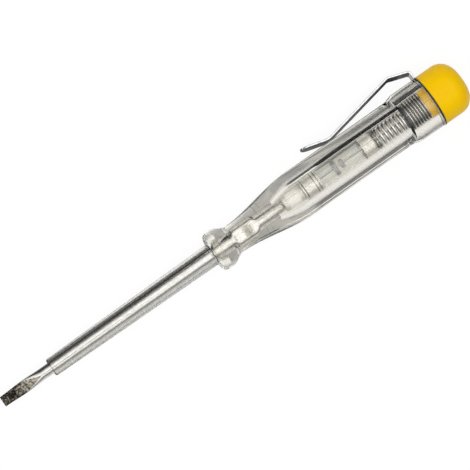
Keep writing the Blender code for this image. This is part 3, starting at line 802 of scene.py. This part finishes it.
def blade_stations(sizes):
    """Sections along the blade: place, width, thickness and squareness."""
    square, softened, round_one = 16.0, 4.0, 2.0
    thickens_early = 0.8
    rod, edge, end_chamfer = 2 * sizes.rod_radius, sizes.tip_edge, 0.5 * MM
    stations = [
        (0.0, sizes.tip_width - 2 * edge, sizes.tip_thickness - 2 * edge, square),
        (edge, sizes.tip_width, sizes.tip_thickness, square),
    ]
    for share in shares(12):
        stations.append((
            between(edge, sizes.wide_at, share),
            between(sizes.tip_width, sizes.wide_width, ease(share)),
            between(sizes.tip_thickness, sizes.wide_thickness, share * share),
            between(square, softened, share)))
    for share in shares(24):
        stations.append((
            between(sizes.wide_at, sizes.taper_end, share),
            between(sizes.wide_width, rod, ease(share)),
            between(sizes.wide_thickness, rod, ease(share ** thickens_early)),
            between(softened, round_one, share)))
    front, rear, length = sizes.wing_front, sizes.wing_rear, sizes.wing_run
    places = [front + length * share for share in shares(6, 0)]
    places += [between(front + length, rear - length, share) for share in shares(12)]
    places += [rear - length * (1 - share) for share in shares(6)]
    for place in places:
        rise = ease(min(1.0, (place - front) / length, (rear - place) / length))
        stations.append((
            place, between(rod, sizes.wing_span, rise), between(rod, sizes.wing_thickness, rise),
            round_one + rise))
    stations += [
        (sizes.rod_rear - end_chamfer, rod, rod, round_one),
        (sizes.rod_rear, rod - 2 * end_chamfer, rod - 2 * end_chamfer, round_one),
    ]
    return stations


def shape_blade(made, stations, sizes):
    """Give each ring of the blade its section and mark the forged and dull places for the material."""
    forged = made.data.attributes.new("forged", "FLOAT", "POINT")
    tongue_from, overlap = 0.9 * sizes.wide_at, 1.02
    punch_width, punch_mark, dull_end = 0.8, 0.9, 0.45
    for vert in made.data.vertices:
        x = vert.co.x
        _, width, thickness, power = min(stations, key=lambda station: abs(station[0] - x))
        angle = math.atan2(vert.co.z, vert.co.y)
        cosine, sine = math.cos(angle), math.sin(angle)
        reach = (abs(cosine) ** power + abs(sine) ** power) ** (-1 / power)
        vert.co.y = width / 2 * reach * cosine
        vert.co.z = thickness / 2 * reach * sine
        across = abs(vert.co.y) / (width / 2)
        tongue = 1 - max(0.0, (x - tongue_from) / (sizes.taper_end - tongue_from))
        face = 1.0 if across < tongue * overlap and x < sizes.taper_end else 0.0
        lengthwise = (x - sizes.pressed_at) / sizes.pressed_run
        pressed = max(0.0, 1 - lengthwise ** 2) * max(0.0, 1 - (across / punch_width) ** 2)
        dulled = dull_end if x > sizes.dull_from else 0.0
        forged.data[vert.index].value = max(face, punch_mark * pressed, dulled)
    made.data.update()


class TESTER_OT_blade(bpy.types.Operator):
    """Extrude the blade from its tip through its sections"""

    bl_idname = "tester.blade"
    bl_label = "Blade"

    def execute(self, context):
        sizes = context.scene.tester_blade
        stations = blade_stations(sizes)
        clear_selection()
        bpy.ops.mesh.primitive_circle_add(
            vertices=64, radius=sizes.rod_radius, fill_type="NGON", rotation=(0, math.pi / 2, 0))
        made = context.object
        made.name = made.data.name = "blade"
        apply_transform()
        bpy.ops.object.mode_set(mode="EDIT")
        bpy.ops.mesh.select_mode(type="EDGE")
        bpy.ops.mesh.select_all(action="SELECT")
        for before, station in zip(stations, stations[1:]):
            bpy.ops.mesh.extrude_edges_move(
                TRANSFORM_OT_translate={"value": (station[0] - before[0], 0, 0)})
        bpy.ops.mesh.edge_face_add()
        bpy.ops.mesh.select_all(action="SELECT")
        bpy.ops.mesh.normals_make_consistent(inside=False)
        bpy.ops.object.mode_set(mode="OBJECT")
        shape_blade(made, stations, sizes)
        settle(made, forged_steel(), angle=40.0, turned_by=sizes.blade_turn)
        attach(made, "handle")
        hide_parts("blade_shaft")
        return {"FINISHED"}


def pressed_cap(name, face, mouth, radius, sheet, look, node, beads=()):
    """A thin pressed cap, closed at its face, open at its mouth, with beads along its side."""
    way = 1 if mouth > face else -1
    edge, bead_half, bead_floor, bead_depth = 0.22 * MM, 0.16 * MM, 0.06 * MM, 0.1 * MM
    inner = face + way * sheet
    outline = [(face, 0.0), *corner(face + way * edge, radius - edge, -way * edge, 0, 1, 5, height=edge)]
    for share in beads:
        at = between(face, mouth, share)
        outline += [
            (at - way * bead_half, radius), (at - way * bead_floor, radius - bead_depth),
            (at + way * bead_floor, radius - bead_depth), (at + way * bead_half, radius),
        ]
    outline += [
        (mouth, radius), (mouth, radius - sheet), (inner + way * edge, radius - sheet),
        (inner, radius - sheet - edge), (inner, 0.0),
    ]
    made = turned(name, outline)
    settle(made, look)
    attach(made, "handle")
    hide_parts(node)


class TESTER_OT_resistor(bpy.types.Operator):
    """Turn the resistor's pellet and press its two caps"""

    bl_idname = "tester.resistor"
    bl_label = "Resistor"

    def execute(self, context):
        sizes = context.scene.tester_inside
        front, rear, radius, sheet = (
            sizes.resistor_front, sizes.resistor_rear, sizes.resistor_radius, sizes.sheet)
        start, end, side = front + sheet + PLAY, rear - sheet - PLAY, radius - sheet - PLAY
        edge, plain = 0.3 * MM, 1.0 * MM
        made = turned("resistor_pellet", [
            (start, 0.0),
            *corner(start + edge, side - edge, edge, 2, 1, 4),
            *run((front + plain, side), (rear - plain, side), 3, even),
            *corner(end - edge, side - edge, edge, 1, 0, 4),
            (end, 0.0),
        ])
        settle(made, ceramic())
        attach(made, "handle")
        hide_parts("resistor_body")
        nickel = plated_metal("nickel_plated_cap", "D6D4CE", "F5F3EF", 0.5, 0.3 * MM, 0.012 * MM)
        skirt = sizes.resistor_skirt
        for name, node, face, mouth in (
            ("resistor_front_cap", "resistor_cap_front", front, front + skirt),
            ("resistor_rear_cap", "resistor_cap_rear", rear, rear - skirt),
        ):
            pressed_cap(name, face, mouth, radius, sheet, nickel, node)
        return {"FINISHED"}


def lamp_glass_outline(sizes):
    """Glass tube with rounded closed ends that leave only the wires' holes."""
    end_gap, dome, seal = 0.05 * MM, 1.2 * MM, 1.5 * MM
    front = sizes.lamp_front + sizes.sheet + end_gap
    rear = sizes.lamp_rear - sizes.sheet - end_gap
    outer = sizes.lamp_radius - sizes.sheet - PLAY - dome
    inner = outer - sizes.glass_wall
    hole = sizes.wire_radius + PLAY
    return [
        (front, hole),
        *corner(front + dome, outer, dome, 2, 1),
        *corner(rear - dome, outer, dome, 1, 0),
        (rear, hole),
        (rear - seal, hole),
        *corner(rear - seal - dome, inner, dome, 0, 1),
        *corner(front + seal + dome, inner, dome, 1, 2),
        (front + seal, hole),
        (front, hole),
    ]


class TESTER_OT_lamp(bpy.types.Operator):
    """Draw the lamp's glass tube, its two electrodes and its two caps"""

    bl_idname = "tester.lamp"
    bl_label = "Neon lamp"

    def execute(self, context):
        sizes = context.scene.tester_inside
        made = turned("lamp_tube", lamp_glass_outline(sizes), 96)
        settle(made, drawn_glass())
        made.visible_shadow = False
        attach(made, "handle")
        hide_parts("lamp_glass")
        metal = plated_metal("dull_nickel_electrode", "151310", "35322D", 0.45, 0.3 * MM, 0.02 * MM)
        front, rear, radius, sheet = sizes.lamp_front, sizes.lamp_rear, sizes.lamp_radius, sizes.sheet
        wire_gap = 0.04 * MM
        for name, node, start, face, reach in (
            ("front_electrode", "lamp_electrode_front", front + sheet + wire_gap,
             sizes.disc_front, sizes.disc_radius),
            ("rear_electrode", "lamp_electrode_rear", rear - sheet - wire_gap,
             sizes.disc_rear, sizes.small_disc_radius),
        ):
            disc = turned(name, self.electrode(sizes, start, face, reach), 64)
            settle(disc, metal)
            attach(disc, "handle")
            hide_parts(node)
        # Painted shade: dark lines on the front cap at its beads and one more band, and on the rear cap
        # at its mouth and its face, where the caps meet the glass and the spring.
        beads, shaded_band, thin, wide = (0.12, 0.88), 0.7, 0.13 * MM, 0.3 * MM
        lines = [(front + share * sizes.front_skirt, thin) for share in (*beads, shaded_band)]
        lines += [(rear - sizes.rear_skirt, wide), (rear, wide)]
        nickel = plated_metal(
            "nickel_plated_lamp_cap", "D2CFC8", "F8F6F2", 0.45, 0.35 * MM, 0.014 * MM, lines)
        pressed_cap(
            "lamp_front_cap", front, front + sizes.front_skirt, radius, sheet, nickel, "lamp_cap_front",
            beads)
        pressed_cap(
            "lamp_rear_cap", rear, rear - sizes.rear_skirt, radius, sheet, nickel, "lamp_cap_rear",
            beads[:1])
        return {"FINISHED"}

    def electrode(self, sizes, start, face, reach):
        """Outline of a wire that carries a disc with broken edges."""
        way = 1 if face > start else -1
        wire, edge, back = sizes.wire_radius, 0.12 * MM, face - way * sizes.disc_thickness
        return [
            (start, 0.0), (start, wire), (back - way * edge, wire), (back, wire + edge),
            (back, reach - edge), (back + way * edge, reach), (face - way * edge, reach),
            (face, reach - edge), (face, 0.0),
        ]


def spring_line(sizes):
    """Centreline of the spring: closed curls, open curls and closed curls."""
    half, closed, opened, radius = (
        sizes.spring_wire, sizes.spring_closed, sizes.spring_curls, sizes.spring_radius)
    points_a_turn, packing = 28, 1.03
    start, end = sizes.spring_front + half, sizes.spring_rear - half
    closed_run = closed * 2 * half * packing
    turns = 2 * closed + opened
    points = []
    for share in shares(int(turns * points_a_turn), 0):
        done = turns * share
        if done <= closed:
            x = start + closed_run * done / closed
        elif done <= closed + opened:
            x = between(start + closed_run, end - closed_run, (done - closed) / opened)
        else:
            x = end - closed_run * (turns - done) / closed
        points.append((x, radius * math.cos(FULL_TURN * done), radius * math.sin(FULL_TURN * done)))
    return points


class TESTER_OT_spring(bpy.types.Operator):
    """Wind the contact spring as one wire with closed ends"""

    bl_idname = "tester.spring"
    bl_label = "Contact spring"

    def execute(self, context):
        sizes = context.scene.tester_inside
        points = spring_line(sizes)
        curve = bpy.data.curves.new("contact_spring_wire", "CURVE")
        curve.dimensions = "3D"
        curve.bevel_depth = sizes.spring_wire
        curve.bevel_resolution = 3
        curve.use_fill_caps = True
        line = curve.splines.new("POLY")
        line.points.add(len(points) - 1)
        for place, point in zip(line.points, points):
            place.co = (*point, 1.0)
        line.use_smooth = True
        made = bpy.data.objects.new("contact_spring_wire", curve)
        context.scene.collection.objects.link(made)
        pick(made)
        bpy.ops.object.convert(target="MESH")
        made = context.object
        bpy.ops.object.mode_set(mode="EDIT")
        close_mesh()
        # Painted shade: a dark band on the closed curls where the spring meets the lamp's rear cap.
        shaded_curl = (sizes.spring_front + 0.5 * MM, 0.7 * MM)
        settle(made, wound_wire(sizes.spring_radius, sizes.spring_wire, [shaded_curl]), angle=60.0)
        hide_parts("contact_spring")
        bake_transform(made)
        return {"FINISHED"}


class TESTER_OT_plug(bpy.types.Operator):
    """Cut the plug's thread and turn its nose and shank"""

    bl_idname = "tester.plug"
    bl_label = "Contact plug"

    def execute(self, context):
        handle, sizes = context.scene.tester_handle, context.scene.tester_rear
        front, rear, shank_rear = sizes.plug_front, sizes.plug_rear, sizes.shank_rear
        crest = sizes.crest_radius - sizes.thread_play
        root = crest - sizes.thread_depth
        thread_from = front + sizes.nose_length
        made = threaded_rod(
            "contact_plug_turned", thread_from, rear, root, crest, handle.thread_front - 2 * PITCH)
        lap = 0.2 * MM
        nose_tip, nose_side, nose_taper_end = root - 0.9 * MM, root - 0.3 * MM, thread_from - 0.1 * MM
        join_solid(made, turned("plug_nose", [
            (front, 0.0), (front, nose_tip), (nose_taper_end, nose_side),
            (thread_from + lap, nose_side), (thread_from + lap, 0.0),
        ]))
        groove_front, groove_rear = shank_rear - 2.4 * MM, shank_rear - 1.2 * MM
        side, groove = sizes.shank_radius, sizes.shank_radius - 0.3 * MM
        join_solid(made, turned("plug_shank", [
            (rear - lap, 0.0), (rear - lap, side), (groove_front, side), (groove_front, groove),
            (groove_rear, groove), (groove_rear, side), (shank_rear, side), (shank_rear, 0.0),
        ]))
        settle(made, turned_thread(root, crest))
        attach(made, "cap")
        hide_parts("contact_plug")
        return {"FINISHED"}


class TESTER_OT_cap(bpy.types.Operator):
    """Turn the yellow end cap with its spigot"""

    bl_idname = "tester.cap"
    bl_label = "End cap"

    def execute(self, context):
        sizes = context.scene.tester_rear
        gap, chamfer, spigot_play = 0.03 * MM, 0.15 * MM, 0.1 * MM
        start, socket_end = sizes.plug_rear + gap, sizes.shank_rear + gap
        socket = sizes.shank_radius + gap
        spigot = sizes.crest_radius - spigot_play
        front, rim, radius = sizes.cap_front, sizes.cap_rim_rounding, sizes.cap_radius
        flat_rear = sizes.cap_rear - sizes.cap_dome
        flat_radius = radius - sizes.cap_rounding_radius
        dome = [
            (flat_rear + sizes.cap_dome * (1 - (1 - share) ** 2), flat_radius * (1 - share))
            for share in shares(5)
        ]
        made = turned("yellow_end_cap", [
            (start, socket), (start, spigot - chamfer), (start + chamfer, spigot), (front, spigot),
            *corner(front + rim, radius - rim, rim, 2, 1, 5),
            *corner(
                flat_rear - sizes.cap_rounding_length, flat_radius, sizes.cap_rounding_length, 1, 0, 22,
                height=sizes.cap_rounding_radius),
            *dome,
            (socket_end, 0.0), (socket_end, socket), (start, socket),
        ], 128)
        settle(made, yellow_plastic(context.scene.tester_colours.yellow))
        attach(made, "cap")
        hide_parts("end_cap")
        return {"FINISHED"}


def bent_path(stops, bends, steps=10):
    """Centreline through corner points, each corner rounded by an arc of its own radius."""
    path = [stops[0]]
    for before, at, after, radius in zip(stops, stops[1:], stops[2:], bends):
        inward = (before - at).normalized()
        outward = (after - at).normalized()
        half_angle = inward.angle(outward) / 2
        reach = radius / math.tan(half_angle)
        centre = at + (inward + outward).normalized() * (radius / math.sin(half_angle))
        first, last = at + inward * reach - centre, at + outward * reach - centre
        path += [centre + first.slerp(last, share) * radius for share in shares(steps, 0)]
    return path + [stops[-1]]


def ribbon(name, rows):
    """An upright ribbon along rows of place and half width."""
    (first, half), rest = rows[0], rows[1:]
    made = drawn_line(name, [first])
    bpy.ops.transform.translate(value=(0, 0, -half))
    bpy.ops.mesh.extrude_vertices_move(TRANSFORM_OT_translate={"value": (0, 0, 2 * half)})
    bpy.ops.mesh.select_mode(type="EDGE")
    bpy.ops.mesh.select_all(action="SELECT")
    for place, reach in rest:
        bpy.ops.mesh.extrude_edges_move(
            TRANSFORM_OT_translate={"value": (place.x - first.x, place.y - first.y, 0)})
        if abs(reach - half) > MERGE:
            bpy.ops.transform.resize(value=(1, 1, reach / half), center_override=(place.x, place.y, 0))
        first, half = place, reach
    bpy.ops.mesh.select_all(action="SELECT")
    bpy.ops.mesh.normals_make_consistent(inside=False)
    bpy.ops.object.mode_set(mode="OBJECT")
    return made


class TESTER_OT_clip(bpy.types.Operator):
    """Bend the pocket clip from one strip and join it to its ring"""

    bl_idname = "tester.clip"
    bl_label = "Pocket clip"

    def execute(self, context):
        handle, sizes = context.scene.tester_handle, context.scene.tester_rear
        thick = sizes.clip_thickness
        root_x = sizes.ring_front + thick / 2
        lap, touch_gap, edge_angle = 0.8 * MM, 0.05 * MM, 50
        stops = [
            Vector((root_x, sizes.ring_radius - lap)),
            Vector((root_x, handle.boss_radius + sizes.arm_root_height)),
            Vector((root_x - sizes.apex_setback, handle.boss_radius + sizes.apex_height)),
            Vector((root_x - sizes.valley_setback, handle.body_radius + thick / 2 + touch_gap)),
            Vector((root_x - sizes.lip_setback, handle.body_radius + sizes.lip_height)),
        ]
        path = bent_path(stops, (sizes.root_bend, sizes.apex_bend, sizes.valley_bend))
        made = ribbon("pocket_clip", self.rounded_end(path, sizes.clip_width / 2))
        apply_modifier(made, "SOLIDIFY", thickness=thick, offset=0, use_even_offset=True)
        outer, inner = sizes.ring_radius, sizes.crest_radius
        ring_front, ring_rear = sizes.ring_front, sizes.ring_front + thick
        join_solid(made, turned("ring", [
            (ring_front, inner), (ring_front, outer), (ring_rear, outer), (ring_rear, inner),
            (ring_front, inner),
        ], 128))
        apply_modifier(
            made, "BEVEL", width=sizes.clip_edge, segments=3, limit_method="ANGLE",
            angle_limit=math.radians(edge_angle), use_clamp_overlap=True)
        self.mark_painted_shade(made, sizes)
        settle(made, chromed_strip())
        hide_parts("clip_ring", "clip_arm")
        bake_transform(made)
        return {"FINISHED"}

    def rounded_end(self, path, half, steps=8):
        """The path's places with the strip's half width, which closes in a half round at the lip."""
        end = path[-1]
        way = (end - path[-2]).normalized()
        rows = [(place, half) for place in path[:-1]]
        for step in range(steps + 1):
            angle = math.pi / 2 * step / (steps + 0.5)
            rows.append((end - way * half * (1 - math.sin(angle)), half * math.cos(angle)))
        return rows

    def mark_painted_shade(self, made, sizes):
        """Mark where shade is painted: the side of the strip that lies towards the handle, and the
        ring's rim.
        """
        inner = made.data.attributes.new("inner", "FLOAT", "FACE")
        arm_from, facing_handle, facing_out = sizes.ring_front - 0.05 * MM, -0.4, 0.8
        # Faces marked 1 get painted shade in the chromed material.
        for face in made.data.polygons:
            if face.center.x < arm_from:
                dull = face.normal.y < facing_handle
            else:
                outwards = math.hypot(face.normal.y, face.normal.z) > facing_out
                dull = outwards and face.center.y < sizes.ring_radius
            inner.data[face.index].value = float(dull)


# Stage


def view_axes(settings):
    """Picture's right and up, towards the camera, and up across the tool, in the frame."""
    away, turned_by, slope = settings.away, settings.round_turn, settings.slope
    towards = Vector((
        -math.sin(away),
        -math.sin(turned_by) * math.cos(away),
        math.cos(turned_by) * math.cos(away),
    ))
    along = (Vector((1, 0, 0)) - towards * towards.x).normalized()
    above = towards.cross(along)
    right = along * math.cos(slope) - above * math.sin(slope)
    up = along * math.sin(slope) + above * math.cos(slope)
    roll = Matrix.Rotation(ROLL, 3, "X")
    return roll @ right, roll @ up, roll @ towards, roll @ above


def angle_round_tool(tree, way, towards, above):
    """Turn of a direction round the tool as a share: 0.5 towards the camera, 0.75 at the clip's side."""
    reaches = [
        vector_maths(tree, "DOT_PRODUCT", way, side).outputs["Value"] for side in (above, towards)]
    return spread(tree, maths(tree, "ARCTAN2", *reaches), -math.pi, math.pi, 0.0, 1.0)


class TESTER_OT_stage(bpy.types.Operator):
    """Set the floor, the soft light, the surroundings and the camera"""

    bl_idname = "tester.stage"
    bl_label = "Stage"

    def execute(self, context):
        scene = context.scene
        right, up, towards, above = view_axes(scene.tester_stage)
        self.floor(scene.tester_handle)
        self.surroundings(scene, towards, above)
        self.lamp(scene, towards)
        self.camera(scene, right, up, towards)
        scene.view_settings.view_transform = "Standard"
        return {"FINISHED"}

    def floor(self, handle):
        """Pale paper under the collar and the clip's corner, with sheets of painted shadow and light on
        it that only metal and clear plastic see.

        To the camera it is mostly plain white, and keeps the tool's soft shadow.
        """
        clip = bpy.data.objects["pocket_clip"]
        low = min((vert.co for vert in clip.data.vertices), key=lambda place: place.z)
        rests_at = 2.0 * MM
        collar = Vector((handle.front + rests_at, 0, -handle.collar_radius))
        slope = math.atan2(collar.z - low.z, low.x - collar.x)
        lying = Matrix.Translation(collar) @ Matrix.Rotation(slope, 4, "Y")
        whiteness, strength, paper_lift, card_lift = 0.88, 1.03, -0.02 * MM, -0.01 * MM
        paper, tree, shader = new_material("white_paper", Base_Color=linear("E4E4E2"), Roughness=0.9)
        seen = add_node(tree, "ShaderNodeLightPath").outputs["Is Camera Ray"]
        glow = add_node(tree, "ShaderNodeEmission", {"Color": linear("FFFFFF"), "Strength": strength})
        lit = add_node(tree, "ShaderNodeMixShader", {
            0: spread(tree, seen, 0.0, 1.0, 0.0, whiteness), 1: shader.outputs[0], 2: glow.outputs[0]})
        feed(tree, tree.nodes["Material Output"], {"Surface": lit.outputs[0]})
        plane = self.sheet("floor", lying, (-1500, 1500), (-1500, 1500), paper_lift, paper)
        # Painted shadow and light on the paper: the handle and sleeve sheets paint the shadow of the
        # tool and its clip beside it, the contact sheet paints the contact shadow under the handle, and
        # the neck sheet paints a lighter patch under the neck.
        for name, length, width, dark_at, stops in (
            ("handle_painted_shadow", (87.5, 128), (5, 12.5), 12.5, (
                (0.0, "E4E4E2"), (0.2, "909090"), (0.4, "404040"), (0.7, "303030"), (0.85, "808080"),
                (1.0, "E4E4E2"))),
            ("sleeve_painted_shadow", (-20, 65), (0, 300), 10, (
                (0.0, "E4E4E2"), (0.1, "A8A8A6"), (0.45, "707070"), (0.8, "3C3C3C"), (1.0, "282828"))),
            ("neck_painted_light", (66, 86), (-5, 3), 3, ((0.0, "F2F2F0"), (1.0, "F2F2F0"))),
            ("contact_painted_shadow", (91.5, 126.5), (-2.8, -1.4), -1.4, (
                (0.0, "606060"), (0.6, "606060"), (0.85, "909090"), (1.0, "C8C8C6"))),
        ):
            look = self.painted_shading_card(length[0], width[0], dark_at, stops)
            length = [place - collar.x / MM for place in length]
            made = self.sheet(name, lying, length, width, card_lift, look)
            made.visible_camera = made.visible_shadow = made.visible_diffuse = False

    def sheet(self, name, lying, length, width, lift, look):
        """A flat sheet on the floor, its length and width given in millimetres from the collar."""
        (start, end), (near, far) = length, width
        bpy.ops.mesh.primitive_plane_add(size=1.0)
        made = bpy.context.object
        made.name = name
        middle = Matrix.Translation(((start + end) / 2 * MM, (near + far) / 2 * MM, 0))
        spans = Matrix.Diagonal(((end - start) * MM, (far - near) * MM, 1, 1))
        made.matrix_world = Matrix.Translation((0, 0, lift)) @ lying @ middle @ spans
        apply_transform()
        made.data.materials.append(look)
        return made

    def painted_shading_card(self, start, near, dark_at, stops):
        """Matt sheet of painted shadow and light in a grade of greys, to draw the edges of the metal and
        clear plastic.
        """
        fade_over = 2.5
        look, tree, shader = new_material("painted_shading_card", Roughness=0.9)
        ways = parts_of(tree, object_place(tree))
        share = spread(tree, ways["Y"], near * MM, dark_at * MM, 0.0, 1.0)
        fade = spread(tree, ways["X"], start * MM, (start + fade_over) * MM, 0.0, 1.0)
        feed(tree, shader, {"Base Color": mixed(tree, fade, "E4E4E2", ramp(tree, share, *stops))})
        return look

    def surroundings(self, scene, towards, above):
        """Greys by the angle round the tool, dimmer towards its two ends, and white to the camera."""
        world = scene.world = bpy.data.worlds.new("studio")
        world.use_nodes = True
        tree = world.node_tree
        tree.nodes.clear()
        way = add_node(tree, "ShaderNodeTexCoord").outputs["Generated"]
        stops = [
            (-180, 0.10), (-120, 0.9), (-90, 0.66), (-67, 0.24), (-51, 0.5), (-37, 1.15),
            (-24, 1.52), (-12, 1.62), (5, 1.56), (22, 1.32), (37, 0.9), (52, 0.4),
            (68, 0.08), (130, 0.03), (180, 0.10),
        ]
        greys = shaded(tree, angle_round_tool(tree, way, towards, above), [
            ((angle + 180) / 360, (grey, grey, grey, 1)) for angle, grey in stops])
        dim_from, dim_to, dimmed = 0.5, 0.9, 0.4
        lengthwise = maths(tree, "ABSOLUTE", parts_of(tree, way)["X"])
        level = spread(tree, lengthwise, dim_from, dim_to, 1.0, dimmed)
        scaled = vector_maths(tree, "SCALE", greys)
        feed(tree, scaled, {"Scale": level})
        seen = add_node(tree, "ShaderNodeLightPath").outputs["Is Camera Ray"]
        back = add_node(tree, "ShaderNodeBackground", {
            "Color": mixed(tree, seen, scaled.outputs[0], "FFFFFF")})
        add_node(tree, "ShaderNodeOutputWorld", {"Surface": back.outputs[0]})

    def lamp(self, scene, towards):
        """One large soft box above the tool, for matt surfaces only."""
        away = 0.9
        lamp = bpy.data.lights.new("soft_box", "AREA")
        lamp.size = 0.8
        lamp.energy = 2.4
        box = bpy.data.objects.new("soft_box", lamp)
        box.location = towards * away
        box.rotation_euler = box.location.to_track_quat("Z", "Y").to_euler()
        box.visible_transmission = box.visible_glossy = False
        scene.collection.objects.link(box)

    def camera(self, scene, right, up, towards):
        """Long lens, aimed so that the tip is where the picture has it."""
        settings = scene.tester_stage
        middle = PICTURE_SIDE / 2
        aim = (right * (middle - settings.tip_x) - up * (middle - settings.tip_y)) * settings.pixel
        lens = bpy.data.cameras.new("camera")
        lens.sensor_width = 36.0
        lens.lens = lens.sensor_width * settings.distance / (PICTURE_SIDE * settings.pixel)
        lens.clip_start, lens.clip_end = 0.05, 10.0
        camera = bpy.data.objects.new("camera", lens)
        turned_to = Matrix((right, up, towards)).transposed().to_4x4()
        turned_to.translation = aim + towards * settings.distance
        camera.matrix_world = turned_to
        scene.collection.objects.link(camera)
        scene.camera = camera


class TESTER_PT_panel(bpy.types.Panel):
    """Sidebar panel with the tester's pieces"""

    bl_idname = "TESTER_PT_panel"
    bl_label = "Tester"
    bl_space_type = "VIEW_3D"
    bl_region_type = "UI"
    bl_category = "Tester"

    def draw(self, context):
        for operator in OPERATORS:
            self.layout.operator(operator.bl_idname)
        for name, group in GROUPS.items():
            box = self.layout.box()
            box.label(text=group.__doc__)
            for prop in group.__annotations__:
                box.prop(getattr(context.scene, name), prop)


OPERATORS = (
    TESTER_OT_handle,
    TESTER_OT_sleeve,
    TESTER_OT_blade,
    TESTER_OT_resistor,
    TESTER_OT_lamp,
    TESTER_OT_spring,
    TESTER_OT_plug,
    TESTER_OT_cap,
    TESTER_OT_clip,
    TESTER_OT_stage,
)


def register():
    for thing in (*GROUPS.values(), *OPERATORS, TESTER_PT_panel):
        bpy.utils.register_class(thing)
    for name, group in GROUPS.items():
        setattr(bpy.types.Scene, name, bpy.props.PointerProperty(type=group))


def unregister():
    for name in GROUPS:
        delattr(bpy.types.Scene, name)
    for thing in reversed((*GROUPS.values(), *OPERATORS, TESTER_PT_panel)):
        bpy.utils.unregister_class(thing)


def main():
    register()
    for operator in OPERATORS:
        group, name = operator.bl_idname.split(".")
        getattr(getattr(bpy.ops, group), name)()


if __name__ == "__main__":
    main()
